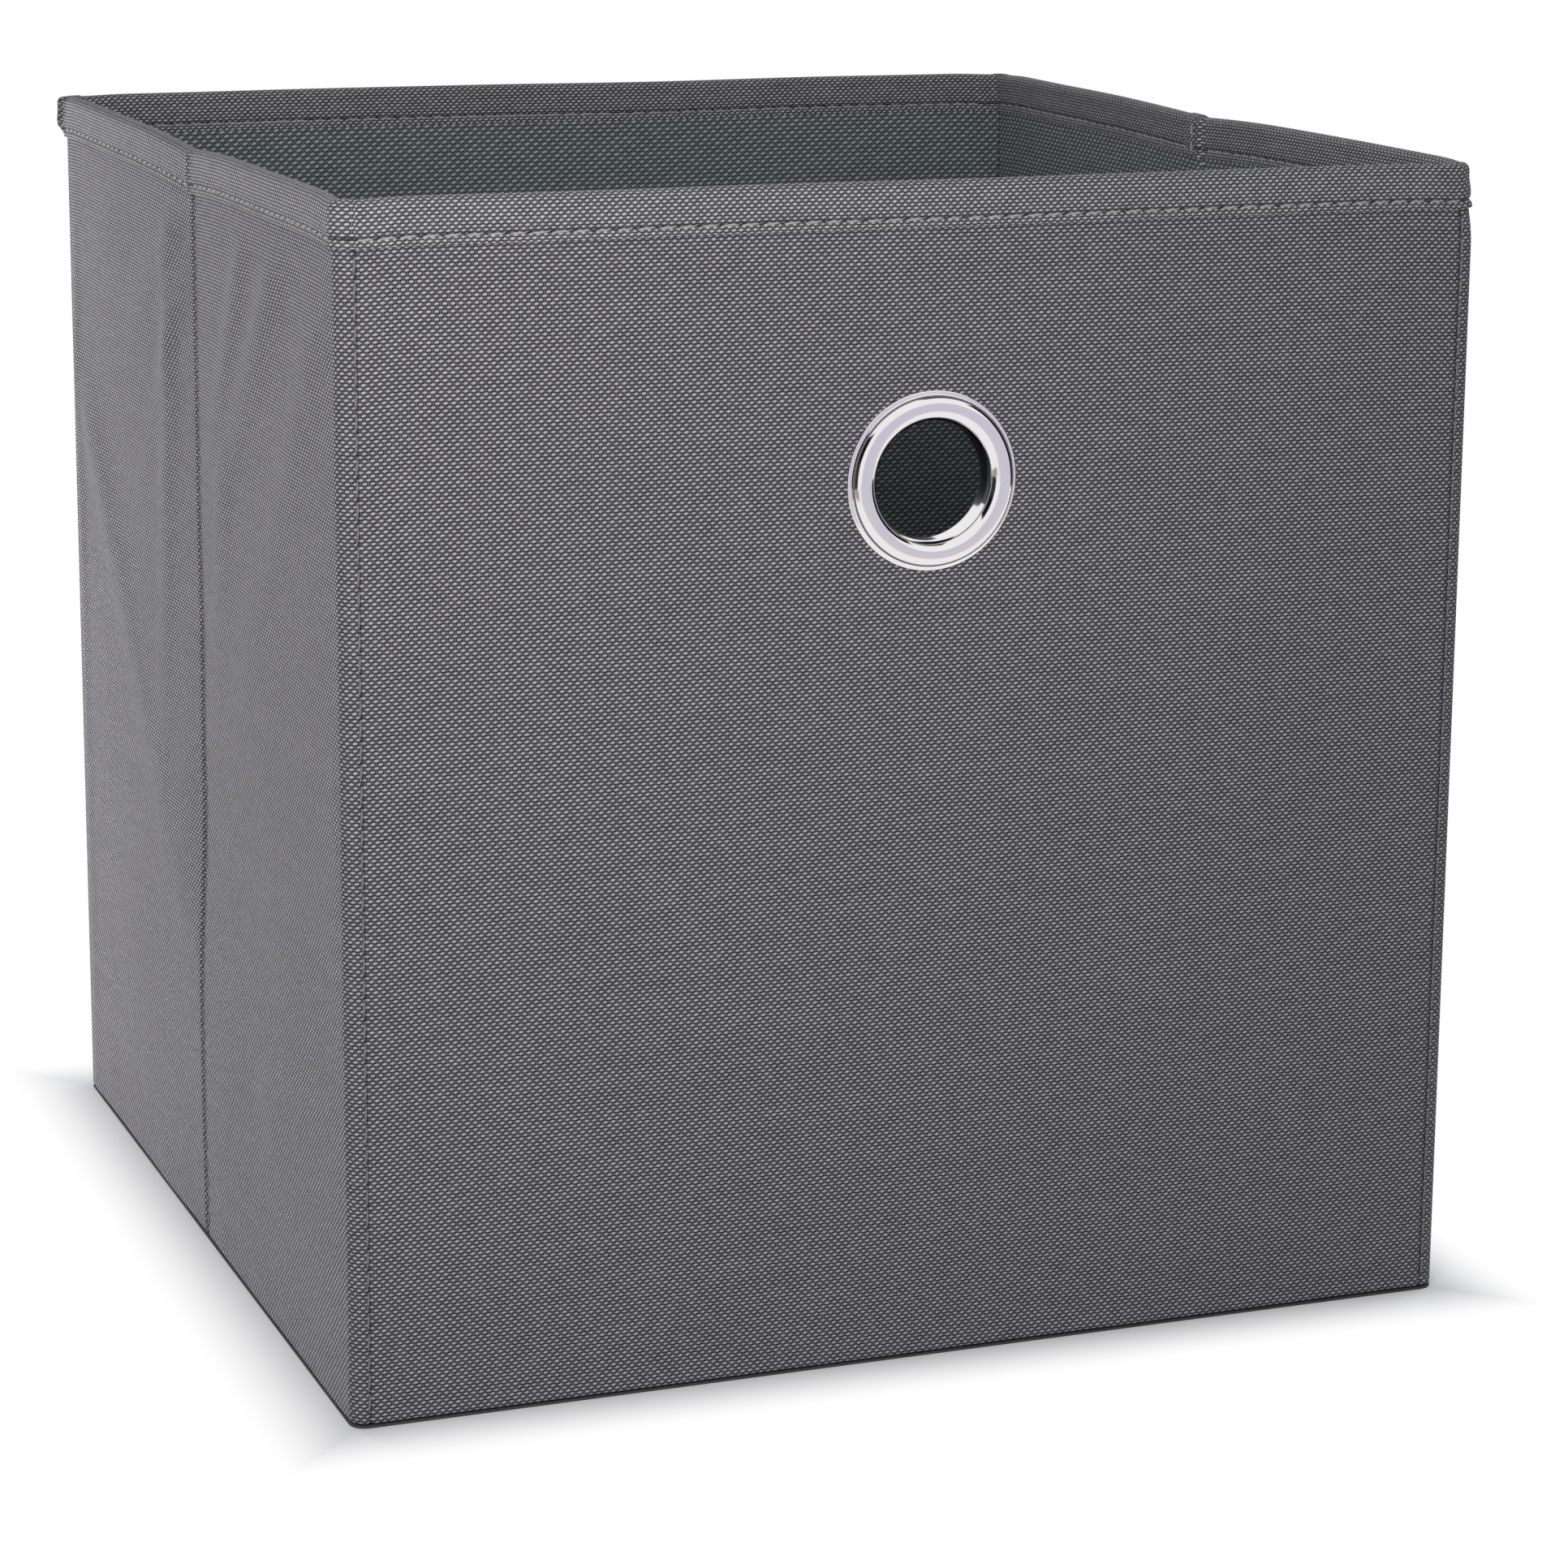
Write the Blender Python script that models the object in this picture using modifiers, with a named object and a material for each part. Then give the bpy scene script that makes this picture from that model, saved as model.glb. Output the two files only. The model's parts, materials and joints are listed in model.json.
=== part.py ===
"""Foldable cloth storage bin: boards in cloth walls, folding side walls, a lift-out base insert.

Frame: metres, +Z up, origin at the middle of the underside, the front wall faces -Y.
The side walls fold inwards at their middle seams, and the front wall comes back against the
back wall. The left and right chains of walls mirror each other.
"""
import math

import bmesh
import bpy
from mathutils import Matrix, Vector

MM = 0.001

# ---- driving dimensions ------------------------------------------------------------------
BIN_WIDTH = 320 * MM          # over the bindings, along X
BIN_DEPTH = 320 * MM          # over the bindings, along Y
BIN_HEIGHT = 320 * MM

OUTER_CLOTH = 0.6 * MM        # thickness of each layer
BOARD = 2.0 * MM
LINING = 0.4 * MM
GAP = 0.3 * MM                # between layers that touch on the real bin

BINDING_CLOTH = 0.6 * MM
BINDING_DROP = 12.0 * MM      # how far the binding comes down from the rim
BINDING_RADIUS = 1.4 * MM

BASE_CLOTH = 0.6 * MM
WALL_BOTTOM = 4.0 * MM        # underside of the walls, just above the insert
CORNER_RADIUS = 3.0 * MM      # of the base cloth and the insert, in plan
EDGE_RADIUS = 0.8 * MM        # of the walls' upright edges

INSERT_BOARD = 2.0 * MM
INSERT_COVER = 0.4 * MM
INSERT_CLEARANCE = 2.5 * MM   # from the lining, all round, to pass the eyelet's rolled end

FOLD_SLACK = 0.2 * MM         # between a fold line and the binding beside it

EYELET_HEIGHT = 241.5 * MM    # of its centre
EYELET_OUTER = 23.8 * MM      # radii
EYELET_CREST = 20.2 * MM
EYELET_THROAT = 15.8 * MM
EYELET_DOME = 2.9 * MM        # how far the ring stands out from the outer cloth
EYELET_SHEET = 0.5 * MM       # thickness of its metal
EYELET_FLARE = 19.0 * MM
WASHER_OUTER = 22.5 * MM
WASHER_SHEET = 0.6 * MM
HOLE_RADIUS = EYELET_THROAT + EYELET_SHEET + 0.4 * MM   # through the cloth, board and washer

# ---- worked out from them ----------------------------------------------------------------
BINDING_STAND = GAP + BINDING_CLOTH                 # how far a binding stands out from a wall
WALL = OUTER_CLOTH + GAP + BOARD + GAP + LINING     # thickness of a wall
HALF_X = BIN_WIDTH / 2 - BINDING_STAND              # outer faces of the side walls
HALF_Y = BIN_DEPTH / 2 - BINDING_STAND              # outer faces of the front and back walls
WALL_TOP = BIN_HEIGHT - BINDING_STAND
FOLD_OFFSET = BINDING_STAND + FOLD_SLACK            # from a wall's face to its fold line

CORNER_X = HALF_X - WALL - FOLD_OFFSET              # fold lines at the corners
CORNER_Y = HALF_Y - WALL - FOLD_OFFSET
MIDDLE_X = HALF_X + FOLD_OFFSET                     # fold lines at the middle seams
SIDE_START = FOLD_SLACK + BINDING_STAND             # a side panel's end, from the middle
SIDE_END = CORNER_Y + FOLD_SLACK / 2 - BINDING_STAND  # and its other end, at the corner

SCREW_STEPS = 56

COLOURS = {
    "outer_cloth": ((0.150, 0.145, 0.160), 0.85, 0.0),
    "lining": ((0.075, 0.088, 0.088), 0.55, 0.0),
    "board": ((0.30, 0.28, 0.25), 0.90, 0.0),
    "binding": ((0.180, 0.175, 0.185), 0.80, 0.0),
    "base_cloth": ((0.060, 0.060, 0.066), 0.90, 0.0),
    "insert_cover": ((0.070, 0.080, 0.080), 0.80, 0.0),
    "metal": ((0.80, 0.79, 0.78), 0.12, 1.0),
}


def clear_scene():
    """Starts from an empty file."""
    for obj in list(bpy.data.objects):
        bpy.data.objects.remove(obj, do_unlink=True)


def new_collection(name):
    """A collection under the scene's own."""
    made = bpy.data.collections.new(name)
    bpy.context.scene.collection.children.link(made)
    return made


def material(node, finish):
    """The node's own material in one of the bin's finishes."""
    colour, roughness, metallic = COLOURS[finish]
    made = bpy.data.materials.new(node + "_material")
    made.use_nodes = True
    shader = made.node_tree.nodes["Principled BSDF"]
    shader.inputs["Base Color"].default_value = (*colour, 1.0)
    shader.inputs["Roughness"].default_value = roughness
    shader.inputs["Metallic"].default_value = metallic
    made.diffuse_color = (*colour, 1.0)
    return made


def block_mesh(low, high, open_sides=()):
    """A box between two corners, without the sides whose outward normals are listed."""
    size = [b - a for a, b in zip(low, high)]
    centre = [(a + b) / 2 for a, b in zip(low, high)]
    block = bmesh.new()
    bmesh.ops.create_cube(block, size=1.0, matrix=Matrix.Diagonal((*size, 1.0)))
    bmesh.ops.translate(block, verts=block.verts, vec=centre)
    block.normal_update()
    gone = [f for f in block.faces if any(f.normal.dot(Vector(n)) > 0.99 for n in open_sides)]
    bmesh.ops.delete(block, geom=gone, context="FACES")
    return block


def round_edges(block, along, radius, segments=3, only=lambda middle: True):
    """Rounds the box's edges that run along an axis (0, 1 or 2) and pass the test."""
    chosen = []
    for edge in block.edges:
        run = edge.verts[1].co - edge.verts[0].co
        middle = (edge.verts[0].co + edge.verts[1].co) / 2
        if abs(run[along]) > 0.99 * run.length and edge.is_manifold and only(middle):
            chosen.append(edge)
    bmesh.ops.bevel(
        block, geom=chosen, offset=radius, segments=segments, affect="EDGES", profile=0.5
    )


def finish_object(name, block, finish, pivot, parent, thickness=None):
    """Makes a named part from a mesh in bin coordinates, with its origin on its fold line."""
    bmesh.ops.translate(block, verts=block.verts, vec=-pivot)
    mesh = bpy.data.meshes.new(name)
    block.to_mesh(mesh)
    block.free()
    obj = bpy.data.objects.new(name, mesh)
    obj.location = pivot if parent is None else (0, 0, 0)
    obj.parent = parent
    mesh.materials.append(material(name, finish))
    PARTS.objects.link(obj)
    if thickness is not None:
        shell = obj.modifiers.new("thickness", "SOLIDIFY")
        shell.thickness = thickness
        shell.offset = -1.0
        shell.use_even_offset = True
    return obj


def joint_empty(name, place, parent=None):
    """An empty on a fold line or slide, which the moving pieces hang on."""
    empty = bpy.data.objects.new(name, None)
    empty.empty_display_size = 0.03
    empty.location = place if parent is None else place - parent_place(parent)
    empty.parent = parent
    PARTS.objects.link(empty)
    return empty


def parent_place(obj):
    """Where an empty stands in the bin, through its parents."""
    place = obj.location.copy()
    while obj.parent is not None:
        obj = obj.parent
        place = place + obj.location
    return place


class WallSection:
    """One stiff section of wall: outer cloth, board, lining and binding, upright.

    It is laid out in its own plan frame and then turned into place: `run` is the distance
    along the wall and `depth` the distance inwards from its outer face.
    """

    def __init__(self, name, start, end, place, parent):
        self.name = name
        self.start, self.end = start, end
        self.place = place          # plan frame to bin frame, a 4x4 matrix
        self.parent = parent
        self.pivot = parent_place(parent) if parent is not None else Vector((0, 0, 0))

    def solid(self, layer, finish, low, high, open_sides=(), thickness=None, shape=None):
        """A box in the wall's plan frame, shaped, turned into place and named."""
        block = block_mesh(low, high, open_sides)
        if shape is not None:
            shape(block)
        bmesh.ops.transform(block, matrix=self.place, verts=block.verts)
        if self.place.determinant() < 0:
            bmesh.ops.reverse_faces(block, faces=block.faces)
        name = f"{self.name}_{layer}"
        return finish_object(name, block, finish, self.pivot, self.parent, thickness)

    def outer_cloth(self):
        """A shallow tray: the face with its edges turned in round the board."""
        turned_in = WALL - LINING - GAP
        return self.solid(
            "outer_cloth", "outer_cloth",
            (self.start, 0, WALL_BOTTOM), (self.end, turned_in, WALL_TOP),
            open_sides=[(0, 1, 0), (0, 0, 1)], thickness=OUTER_CLOTH,
            shape=lambda block: round_edges(block, 2, EDGE_RADIUS, 2, lambda m: m.y < GAP),
        )

    def board(self):
        """The stiff board inside the cloth."""
        edge = OUTER_CLOTH + GAP
        return self.solid(
            "board", "board",
            (self.start + edge, edge, WALL_BOTTOM + edge),
            (self.end - edge, edge + BOARD, WALL_TOP - GAP),
        )

    def lining(self):
        """The cloth on the inner face."""
        return self.solid(
            "lining", "lining",
            (self.start, WALL - LINING, WALL_BOTTOM), (self.end, WALL, WALL_TOP),
        )

    def binding(self):
        """The strip folded over the rim, open below."""
        stand = BINDING_STAND
        return self.solid(
            "binding", "binding",
            (self.start - stand, -stand, BIN_HEIGHT - BINDING_DROP),
            (self.end + stand, WALL + stand, BIN_HEIGHT),
            open_sides=[(0, 0, -1)], thickness=BINDING_CLOTH,
            shape=lambda block: round_edges(
                block, 0, BINDING_RADIUS, 3, lambda m: m.z > BIN_HEIGHT - GAP
            ),
        )

    def build(self):
        """Makes the section's four layers."""
        return [self.outer_cloth(), self.board(), self.lining(), self.binding()]


def plan_frame(origin, along, inwards):
    """The matrix from a wall's plan frame (run, depth, height) to the bin's frame."""
    frame = Matrix.Identity(4)
    frame.col[0] = (*along, 0)
    frame.col[1] = (*inwards, 0)
    frame.col[2] = (0, 0, 1, 0)
    frame.col[3] = (*origin, 1)
    return frame


def bored(obj, radius, height, cutters):
    """Cuts the eyelet's hole through a front layer."""
    bpy.ops.mesh.primitive_cylinder_add(
        vertices=SCREW_STEPS, radius=radius, depth=6 * WALL,
        location=(0, -HALF_Y + WALL / 2, height), rotation=(math.pi / 2, 0, 0),
    )
    cutter = bpy.context.active_object
    cutter.name = f"cut_{obj.name}"
    for group in list(cutter.users_collection):
        group.objects.unlink(cutter)
    cutters.objects.link(cutter)
    cutter.hide_render = True
    cutter.display_type = "WIRE"
    cut = obj.modifiers.new("eyelet_hole", "BOOLEAN")
    cut.operation = "DIFFERENCE"
    cut.solver = "EXACT"
    cut.object = cutter


def turned(name, profile, parent, finish):
    """A ring round the eyelet's axis from a closed profile of (radius, depth) points.

    Depth runs from the outer cloth's face into the bin.
    """
    ring = bmesh.new()
    corners = [ring.verts.new((radius, 0, -depth)) for radius, depth in profile]
    for n, corner in enumerate(corners):
        ring.edges.new((corner, corners[(n + 1) % len(corners)]))
    mesh = bpy.data.meshes.new(name)
    ring.to_mesh(mesh)
    ring.free()
    obj = bpy.data.objects.new(name, mesh)
    mesh.materials.append(material(name, finish))
    PARTS.objects.link(obj)
    pivot = parent_place(parent)
    obj.parent = parent
    obj.location = Vector((0, -HALF_Y, EYELET_HEIGHT)) - pivot
    obj.rotation_euler = (math.pi / 2, 0, 0)
    spin = obj.modifiers.new("turn", "SCREW")
    spin.axis = "Z"
    spin.steps = SCREW_STEPS
    spin.render_steps = SCREW_STEPS
    spin.use_merge_vertices = True
    spin.merge_threshold = 0.00001
    spin.use_smooth_shade = True
    return obj


def arc(centre, across, deep, start, end, points):
    """Points of an elliptic arc, as (radius, depth); angle 0 is outwards, 90 out of the wall."""
    out = []
    for n in range(points):
        angle = math.radians(start + (end - start) * n / (points - 1))
        out.append((centre[0] + across * math.cos(angle), centre[1] - deep * math.sin(angle)))
    return out


def eyelet_ring_profile():
    """The pressed ring: a domed flange, the throat and the end rolled over the washer."""
    sheet = EYELET_SHEET
    face = -GAP                                   # clear of the outer cloth
    wide = EYELET_OUTER - EYELET_CREST
    throat = EYELET_CREST - EYELET_THROAT
    rise = EYELET_DOME - GAP
    washer_back = WALL + GAP + WASHER_SHEET + GAP
    under_side = arc((EYELET_CREST, face), wide - sheet, rise - sheet, 0, 90, 6)
    under_side += arc((EYELET_CREST, face), throat - sheet, rise - sheet, 90, 180, 6)[1:]
    under_side += [(EYELET_THROAT + sheet, washer_back), (EYELET_FLARE, washer_back)]
    shown_side = [(EYELET_FLARE, washer_back + sheet), (EYELET_THROAT, washer_back + sheet)]
    shown_side += arc((EYELET_CREST, face), throat, rise, 180, 90, 7)
    shown_side += arc((EYELET_CREST, face), wide, rise, 90, 0, 7)[1:]
    return under_side + shown_side


def washer_profile():
    """The flat washer on the inner side of the front wall."""
    near = WALL + GAP
    far = near + WASHER_SHEET
    return [(WASHER_OUTER, near), (WASHER_OUTER, far), (HOLE_RADIUS, far), (HOLE_RADIUS, near)]


def base_and_insert(insert_slide):
    """The base cloth, turned up round the foot of the walls, and the loose insert on it."""
    block = block_mesh(
        (-HALF_X, -HALF_Y, 0), (HALF_X, HALF_Y, WALL_BOTTOM - GAP), open_sides=[(0, 0, 1)]
    )
    round_edges(block, 2, CORNER_RADIUS, 4)
    finish_object("base_cloth", block, "base_cloth", Vector((0, 0, 0)), None, BASE_CLOTH)

    reach_x = HALF_X - WALL - INSERT_CLEARANCE
    reach_y = HALF_Y - WALL - INSERT_CLEARANCE
    bottom = BASE_CLOTH + GAP
    pivot = parent_place(insert_slide)
    inside = INSERT_COVER + GAP
    block = block_mesh(
        (inside - reach_x, inside - reach_y, bottom),
        (reach_x - inside, reach_y - inside, bottom + INSERT_BOARD),
    )
    round_edges(block, 2, CORNER_RADIUS - inside, 4)
    finish_object("insert_board", block, "board", pivot, insert_slide)

    block = block_mesh(
        (-reach_x, -reach_y, bottom),
        (reach_x, reach_y, bottom + INSERT_BOARD + GAP + INSERT_COVER),
        open_sides=[(0, 0, -1)],
    )
    round_edges(block, 2, CORNER_RADIUS, 4)
    finish_object("insert_cover", block, "insert_cover", pivot, insert_slide, INSERT_COVER)


def side_chain(side, left):
    """The rear and front halves of one side wall, on their fold lines. Returns the empties."""
    rear_fold = joint_empty(f"{side}_rear_fold", Vector((left * CORNER_X, CORNER_Y, 0)))
    middle_fold = joint_empty(
        f"{side}_middle_fold", Vector((left * MIDDLE_X, 0, 0)), rear_fold
    )
    place = plan_frame((left * HALF_X, 0, 0), (0, 1, 0), (-left, 0, 0))
    WallSection(f"{side}_rear", SIDE_START, SIDE_END, place, rear_fold).build()
    WallSection(f"{side}_front", -SIDE_END, -SIDE_START, place, middle_fold).build()
    return rear_fold, middle_fold


clear_scene()
PARTS = new_collection("fabric_storage_bin")
CUTTERS = new_collection("cutters")

back_place = plan_frame((0, HALF_Y, 0), (1, 0, 0), (0, -1, 0))
WallSection("back", -HALF_X, HALF_X, back_place, None).build()

left_rear_fold, left_middle_fold = side_chain("left", -1)
side_chain("right", 1)

front_fold = joint_empty(
    "front_left_fold", Vector((-CORNER_X, -CORNER_Y, 0)), left_middle_fold
)
front_place = plan_frame((0, -HALF_Y, 0), (1, 0, 0), (0, 1, 0))
front_layers = WallSection("front", -HALF_X, HALF_X, front_place, front_fold).build()
for layer in front_layers[:3]:
    bored(layer, HOLE_RADIUS, EYELET_HEIGHT, CUTTERS)

turned("eyelet_ring", eyelet_ring_profile(), front_fold, "metal")
turned("eyelet_washer", washer_profile(), front_fold, "metal")

insert_slide = joint_empty("insert_lift", Vector((0, 0, BASE_CLOTH + GAP)))
base_and_insert(insert_slide)
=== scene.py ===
"""Looks of the foldable cloth storage bin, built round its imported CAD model."""
import json
import logging
import math
from dataclasses import dataclass, field
from enum import Enum
from typing import Callable, Optional, Sequence

import bpy
import numpy as np
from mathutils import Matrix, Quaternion, Vector


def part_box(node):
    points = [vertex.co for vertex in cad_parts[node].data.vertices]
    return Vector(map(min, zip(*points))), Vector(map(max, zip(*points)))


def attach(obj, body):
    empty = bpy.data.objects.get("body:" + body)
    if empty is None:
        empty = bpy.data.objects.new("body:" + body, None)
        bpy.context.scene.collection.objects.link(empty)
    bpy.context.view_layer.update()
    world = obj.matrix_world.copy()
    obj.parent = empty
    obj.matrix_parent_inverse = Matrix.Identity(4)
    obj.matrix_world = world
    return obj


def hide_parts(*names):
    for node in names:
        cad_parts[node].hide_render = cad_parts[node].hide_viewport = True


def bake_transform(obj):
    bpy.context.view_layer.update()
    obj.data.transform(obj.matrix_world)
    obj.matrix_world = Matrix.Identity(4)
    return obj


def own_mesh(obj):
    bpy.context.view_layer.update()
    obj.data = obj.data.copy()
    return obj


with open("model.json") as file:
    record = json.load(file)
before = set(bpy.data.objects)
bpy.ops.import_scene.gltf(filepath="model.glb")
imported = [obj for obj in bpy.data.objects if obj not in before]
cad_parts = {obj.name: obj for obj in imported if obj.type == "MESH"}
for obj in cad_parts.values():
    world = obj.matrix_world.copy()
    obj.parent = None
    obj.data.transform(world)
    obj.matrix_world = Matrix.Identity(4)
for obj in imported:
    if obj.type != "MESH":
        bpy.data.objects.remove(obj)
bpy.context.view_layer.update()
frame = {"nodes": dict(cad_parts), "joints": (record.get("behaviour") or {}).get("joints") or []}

LOG = logging.getLogger("storage_bin")

MM = 0.001
QUARTER = math.pi / 2
JOINTS = {joint["name"]: joint for joint in frame["joints"]}

HALF = -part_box("front_outer_cloth")[0].y            # from the middle to a wall's outer face
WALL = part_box("front_lining")[1].y + HALF           # thickness of a wall
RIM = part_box("front_binding")[1].z
BINDING_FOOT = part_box("front_binding")[0].z
CORNER = -JOINTS["front_left_fold"]["pos_m"][0]     # from the middle to a corner's fold line
ROUND = HALF - CORNER                               # radius of the cloth round a corner
ARC = ROUND * QUARTER
SIDE_LENGTH = 2 * CORNER + ARC
EYELET_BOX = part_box("eyelet_ring")
EYELET_HEIGHT = (EYELET_BOX[0].z + EYELET_BOX[1].z) / 2
EYELET_RADIUS = (EYELET_BOX[1].z - EYELET_BOX[0].z) / 2
FOOT = 0.85 * MM                                    # underside of the walls' cloth
HOLE = 17.4 * MM                                    # radius of the hole behind the eyelet
STITCH_PITCH = 5.6 * MM
UNDER_STITCH = 0.2 * MM                             # how much lower the binding's inner leg is
CUBE = 0.32                                         # the side in which the camera's place is given
SENSOR = 36.0

Points = np.ndarray
Row = tuple[float, float]


# ---- walls: where a point of the cloth lies ------------------------------------------------


class Face(Enum):
    """The four walls, counted anticlockwise from the front as seen from above."""

    FRONT = 0
    RIGHT = 1
    BACK = 2
    LEFT = 3


class Layer(Enum):
    """What a piece is in its wall, which decides how it waves."""

    OUTER = "outer"
    INNER = "inner"
    PLAIN = "plain"


def smooth(value: Points) -> Points:
    """Eases a value from 0 to 1, and holds it outside."""
    t = np.clip(value, 0.0, 1.0)
    return t * t * (3 - 2 * t)


def bell(value: Points) -> Points:
    """A hump of height 1 at 0, which has all but gone at 2."""
    return np.exp(-value * value)


def waves(run: Points, height: Points, seed: float, length: float) -> Points:
    """Smooth irregular waves from -1 to 1.

    Args:
        run: distances along the wall.
        height: heights above the floor.
        seed: shifts the pattern, so that each wall has its own.
        length: the typical wave length in metres.

    Returns:
        The height of the waves at each point.
    """
    x, z = run / length, height / length
    total = np.sin(5.1 * x + 2.3 * z + seed) + np.sin(-3.7 * x + 4.9 * z + 2.1 * seed + 1.0)
    total = total + np.sin(7.9 * x - 1.7 * z + 3.3 * seed + 2.0) * 0.6
    return (total + np.sin(2.2 * x + 8.3 * z + 0.7 * seed) * 0.5) / 3.1


def needle(along: Points) -> Points:
    """1 at each needle hole of a row of stitches, and 0 halfway between."""
    return 0.5 + 0.5 * np.cos(2 * math.pi * along / STITCH_PITCH)


@dataclass(frozen=True)
class Crease:
    """A soft ridge in the cloth, running straight from its start."""

    run: float
    height: float
    heading: float          # degrees anticlockwise from the run, seen from outside
    reach: float
    width: float
    rise: float             # outwards, or inwards where it is negative

    def lift(self, run: Points, height: Points) -> Points:
        """How far the crease lifts each point outwards."""
        angle = math.radians(self.heading)
        dx, dz = run - self.run, height - self.height
        along = dx * math.cos(angle) + dz * math.sin(angle)
        across = dz * math.cos(angle) - dx * math.sin(angle)
        ends = smooth(along / (0.2 * self.reach)) * (1 - smooth(along / self.reach))
        return self.rise * bell(across / self.width) * ends


LEFT_CREASES = (
    Crease(-156 * MM, 252 * MM, -49.7, 262 * MM, 11 * MM, 1.7 * MM),
    Crease(-24 * MM, 312 * MM, 264, 240 * MM, 8 * MM, 1.5 * MM),
    Crease(-4 * MM, 306 * MM, 214, 120 * MM, 8 * MM, 1.3 * MM),
    Crease(-4 * MM, 292 * MM, 232, 130 * MM, 6 * MM, 1.0 * MM),
    Crease(70 * MM, 312 * MM, 236, 130 * MM, 8 * MM, 1.9 * MM),
    Crease(112 * MM, 312 * MM, 226, 170 * MM, 9 * MM, 1.8 * MM),
    Crease(150 * MM, 300 * MM, 232, 190 * MM, 11 * MM, 1.2 * MM),
    Crease(36 * MM, 250 * MM, 258, 130 * MM, 9 * MM, 0.8 * MM),
    Crease(-147 * MM, 312 * MM, 270, 420 * MM, 4 * MM, 0.9 * MM),
    Crease(60 * MM, 60 * MM, 12, 110 * MM, 12 * MM, 0.6 * MM),
)
RIGHT_CREASES = (
    Crease(4 * MM, 300 * MM, -30, 170 * MM, 10 * MM, 1.5 * MM),
    Crease(-4 * MM, 290 * MM, 205, 150 * MM, 9 * MM, 1.3 * MM),
    Crease(-140 * MM, 90 * MM, 20, 160 * MM, 12 * MM, 1.0 * MM),
)
FRONT_CREASES = (
    Crease(-150 * MM, 300 * MM, -28, 150 * MM, 16 * MM, 0.6 * MM),
    Crease(150 * MM, 302 * MM, 215, 120 * MM, 14 * MM, 0.6 * MM),
    Crease(-110 * MM, 40 * MM, 12, 190 * MM, 18 * MM, 0.4 * MM),
    Crease(-28 * MM, 265 * MM, 17, 92 * MM, 5.5 * MM, 0.7 * MM),
    Crease(-140 * MM, 267 * MM, 12, 70 * MM, 5.5 * MM, 0.55 * MM),
)
BACK_CREASES = (
    Crease(-140 * MM, 290 * MM, -40, 200 * MM, 14 * MM, 1.0 * MM),
    Crease(140 * MM, 250 * MM, 205, 210 * MM, 15 * MM, 1.0 * MM),
)
CREASES = {
    Face.FRONT: FRONT_CREASES, Face.RIGHT: RIGHT_CREASES,
    Face.BACK: BACK_CREASES, Face.LEFT: LEFT_CREASES,
}
BOW = {Face.FRONT: 0.0, Face.RIGHT: 1.0 * MM, Face.BACK: 0.0, Face.LEFT: 2.4 * MM}
VALLEY = {Face.FRONT: 0.0, Face.RIGHT: 0.6 * MM, Face.BACK: 0.0, Face.LEFT: 0.7 * MM}
RIM_DIPS = {                                        # place, drop and reach of each
    Face.LEFT: (-4 * MM, 2.8 * MM, 42 * MM), Face.RIGHT: (2 * MM, 1.6 * MM, 36 * MM),
}
RIDGE_FOOT = 68 * MM                                # where the left wall's long crease ends
SLUMP = 2.2 * MM


def bow(face: Face, run: Points, height: Points) -> Points:
    """How far a wall's layers lean inwards towards its middle seam.

    The left wall leans in sharply between its long crease and the seam, and the right wall
    leans in evenly.
    """
    tent = np.clip(1 - np.abs(run) / CORNER, 0, 1)
    lean = tent * smooth((height - 25 * MM) / (250 * MM))
    if face is Face.LEFT:
        ridge = np.clip((height - RIDGE_FOOT) * 0.85, 1 * MM, CORNER)
        pinched = np.clip(1 + run / ridge, 0, 1) ** 2
        lean = np.where(run < 0, pinched, tent) * smooth((height - 66 * MM) / (70 * MM))
    return BOW[face] * lean


def dip(face: Face, run: Points, height: Points) -> Points:
    """How far the rim hangs below its full height."""
    sag = 0.5 * MM * bell((np.abs(run) - CORNER) / (9 * MM))
    sag = sag + 0.25 * MM * (1 + waves(run, run * 0, 1.3 * face.value, 110 * MM))
    if face in RIM_DIPS:
        middle, drop, reach = RIM_DIPS[face]
        sag = sag + drop * np.exp(-np.abs(run - middle) / reach)
    ends = 1 - smooth((np.abs(run) - CORNER + 1 * MM) / (4 * MM))
    return (sag * ends + 0.5 * MM * (1 - ends)) * smooth((height - 200 * MM) / (110 * MM))


def lift(face: Face, run: Points, height: Points, layer: Layer) -> Points:
    """How far the cloth of a layer waves outwards from its flat place."""
    if layer is Layer.PLAIN:
        return run * 0
    flat = 1 - smooth((np.abs(run) - CORNER + 5 * MM) / (4 * MM))
    if layer is Layer.INNER:
        return -0.18 * MM * (1 + waves(run, height, 5 + face.value, 90 * MM)) * flat
    made = 0.22 * MM * (0.6 + waves(run, height, 2 + face.value, 75 * MM))
    for crease in CREASES[face]:
        made = made + crease.lift(run, height)
    calm = smooth((RIM - 14 * MM - height) / (14 * MM))
    if face is Face.FRONT:
        from_eyelet = np.hypot(run, height - EYELET_HEIGHT) - EYELET_RADIUS
        turn = np.arctan2(height - EYELET_HEIGHT, run)
        pucker = 0.16 * MM * np.sin(9 * turn + 0.6) * bell((from_eyelet - 6 * MM) / (8 * MM))
        calm = calm * smooth((from_eyelet - 1.5 * MM) / (9 * MM))
        made = made + pucker
    valley = VALLEY[face] * bell(run / (1.5 * MM))
    hem = 0.5 * MM * bell((height - 9 * MM) / (5 * MM)) * waves(run, run * 0, 4.0, 30 * MM)
    return (made + 0.5 * hem) * flat * calm - valley


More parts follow.
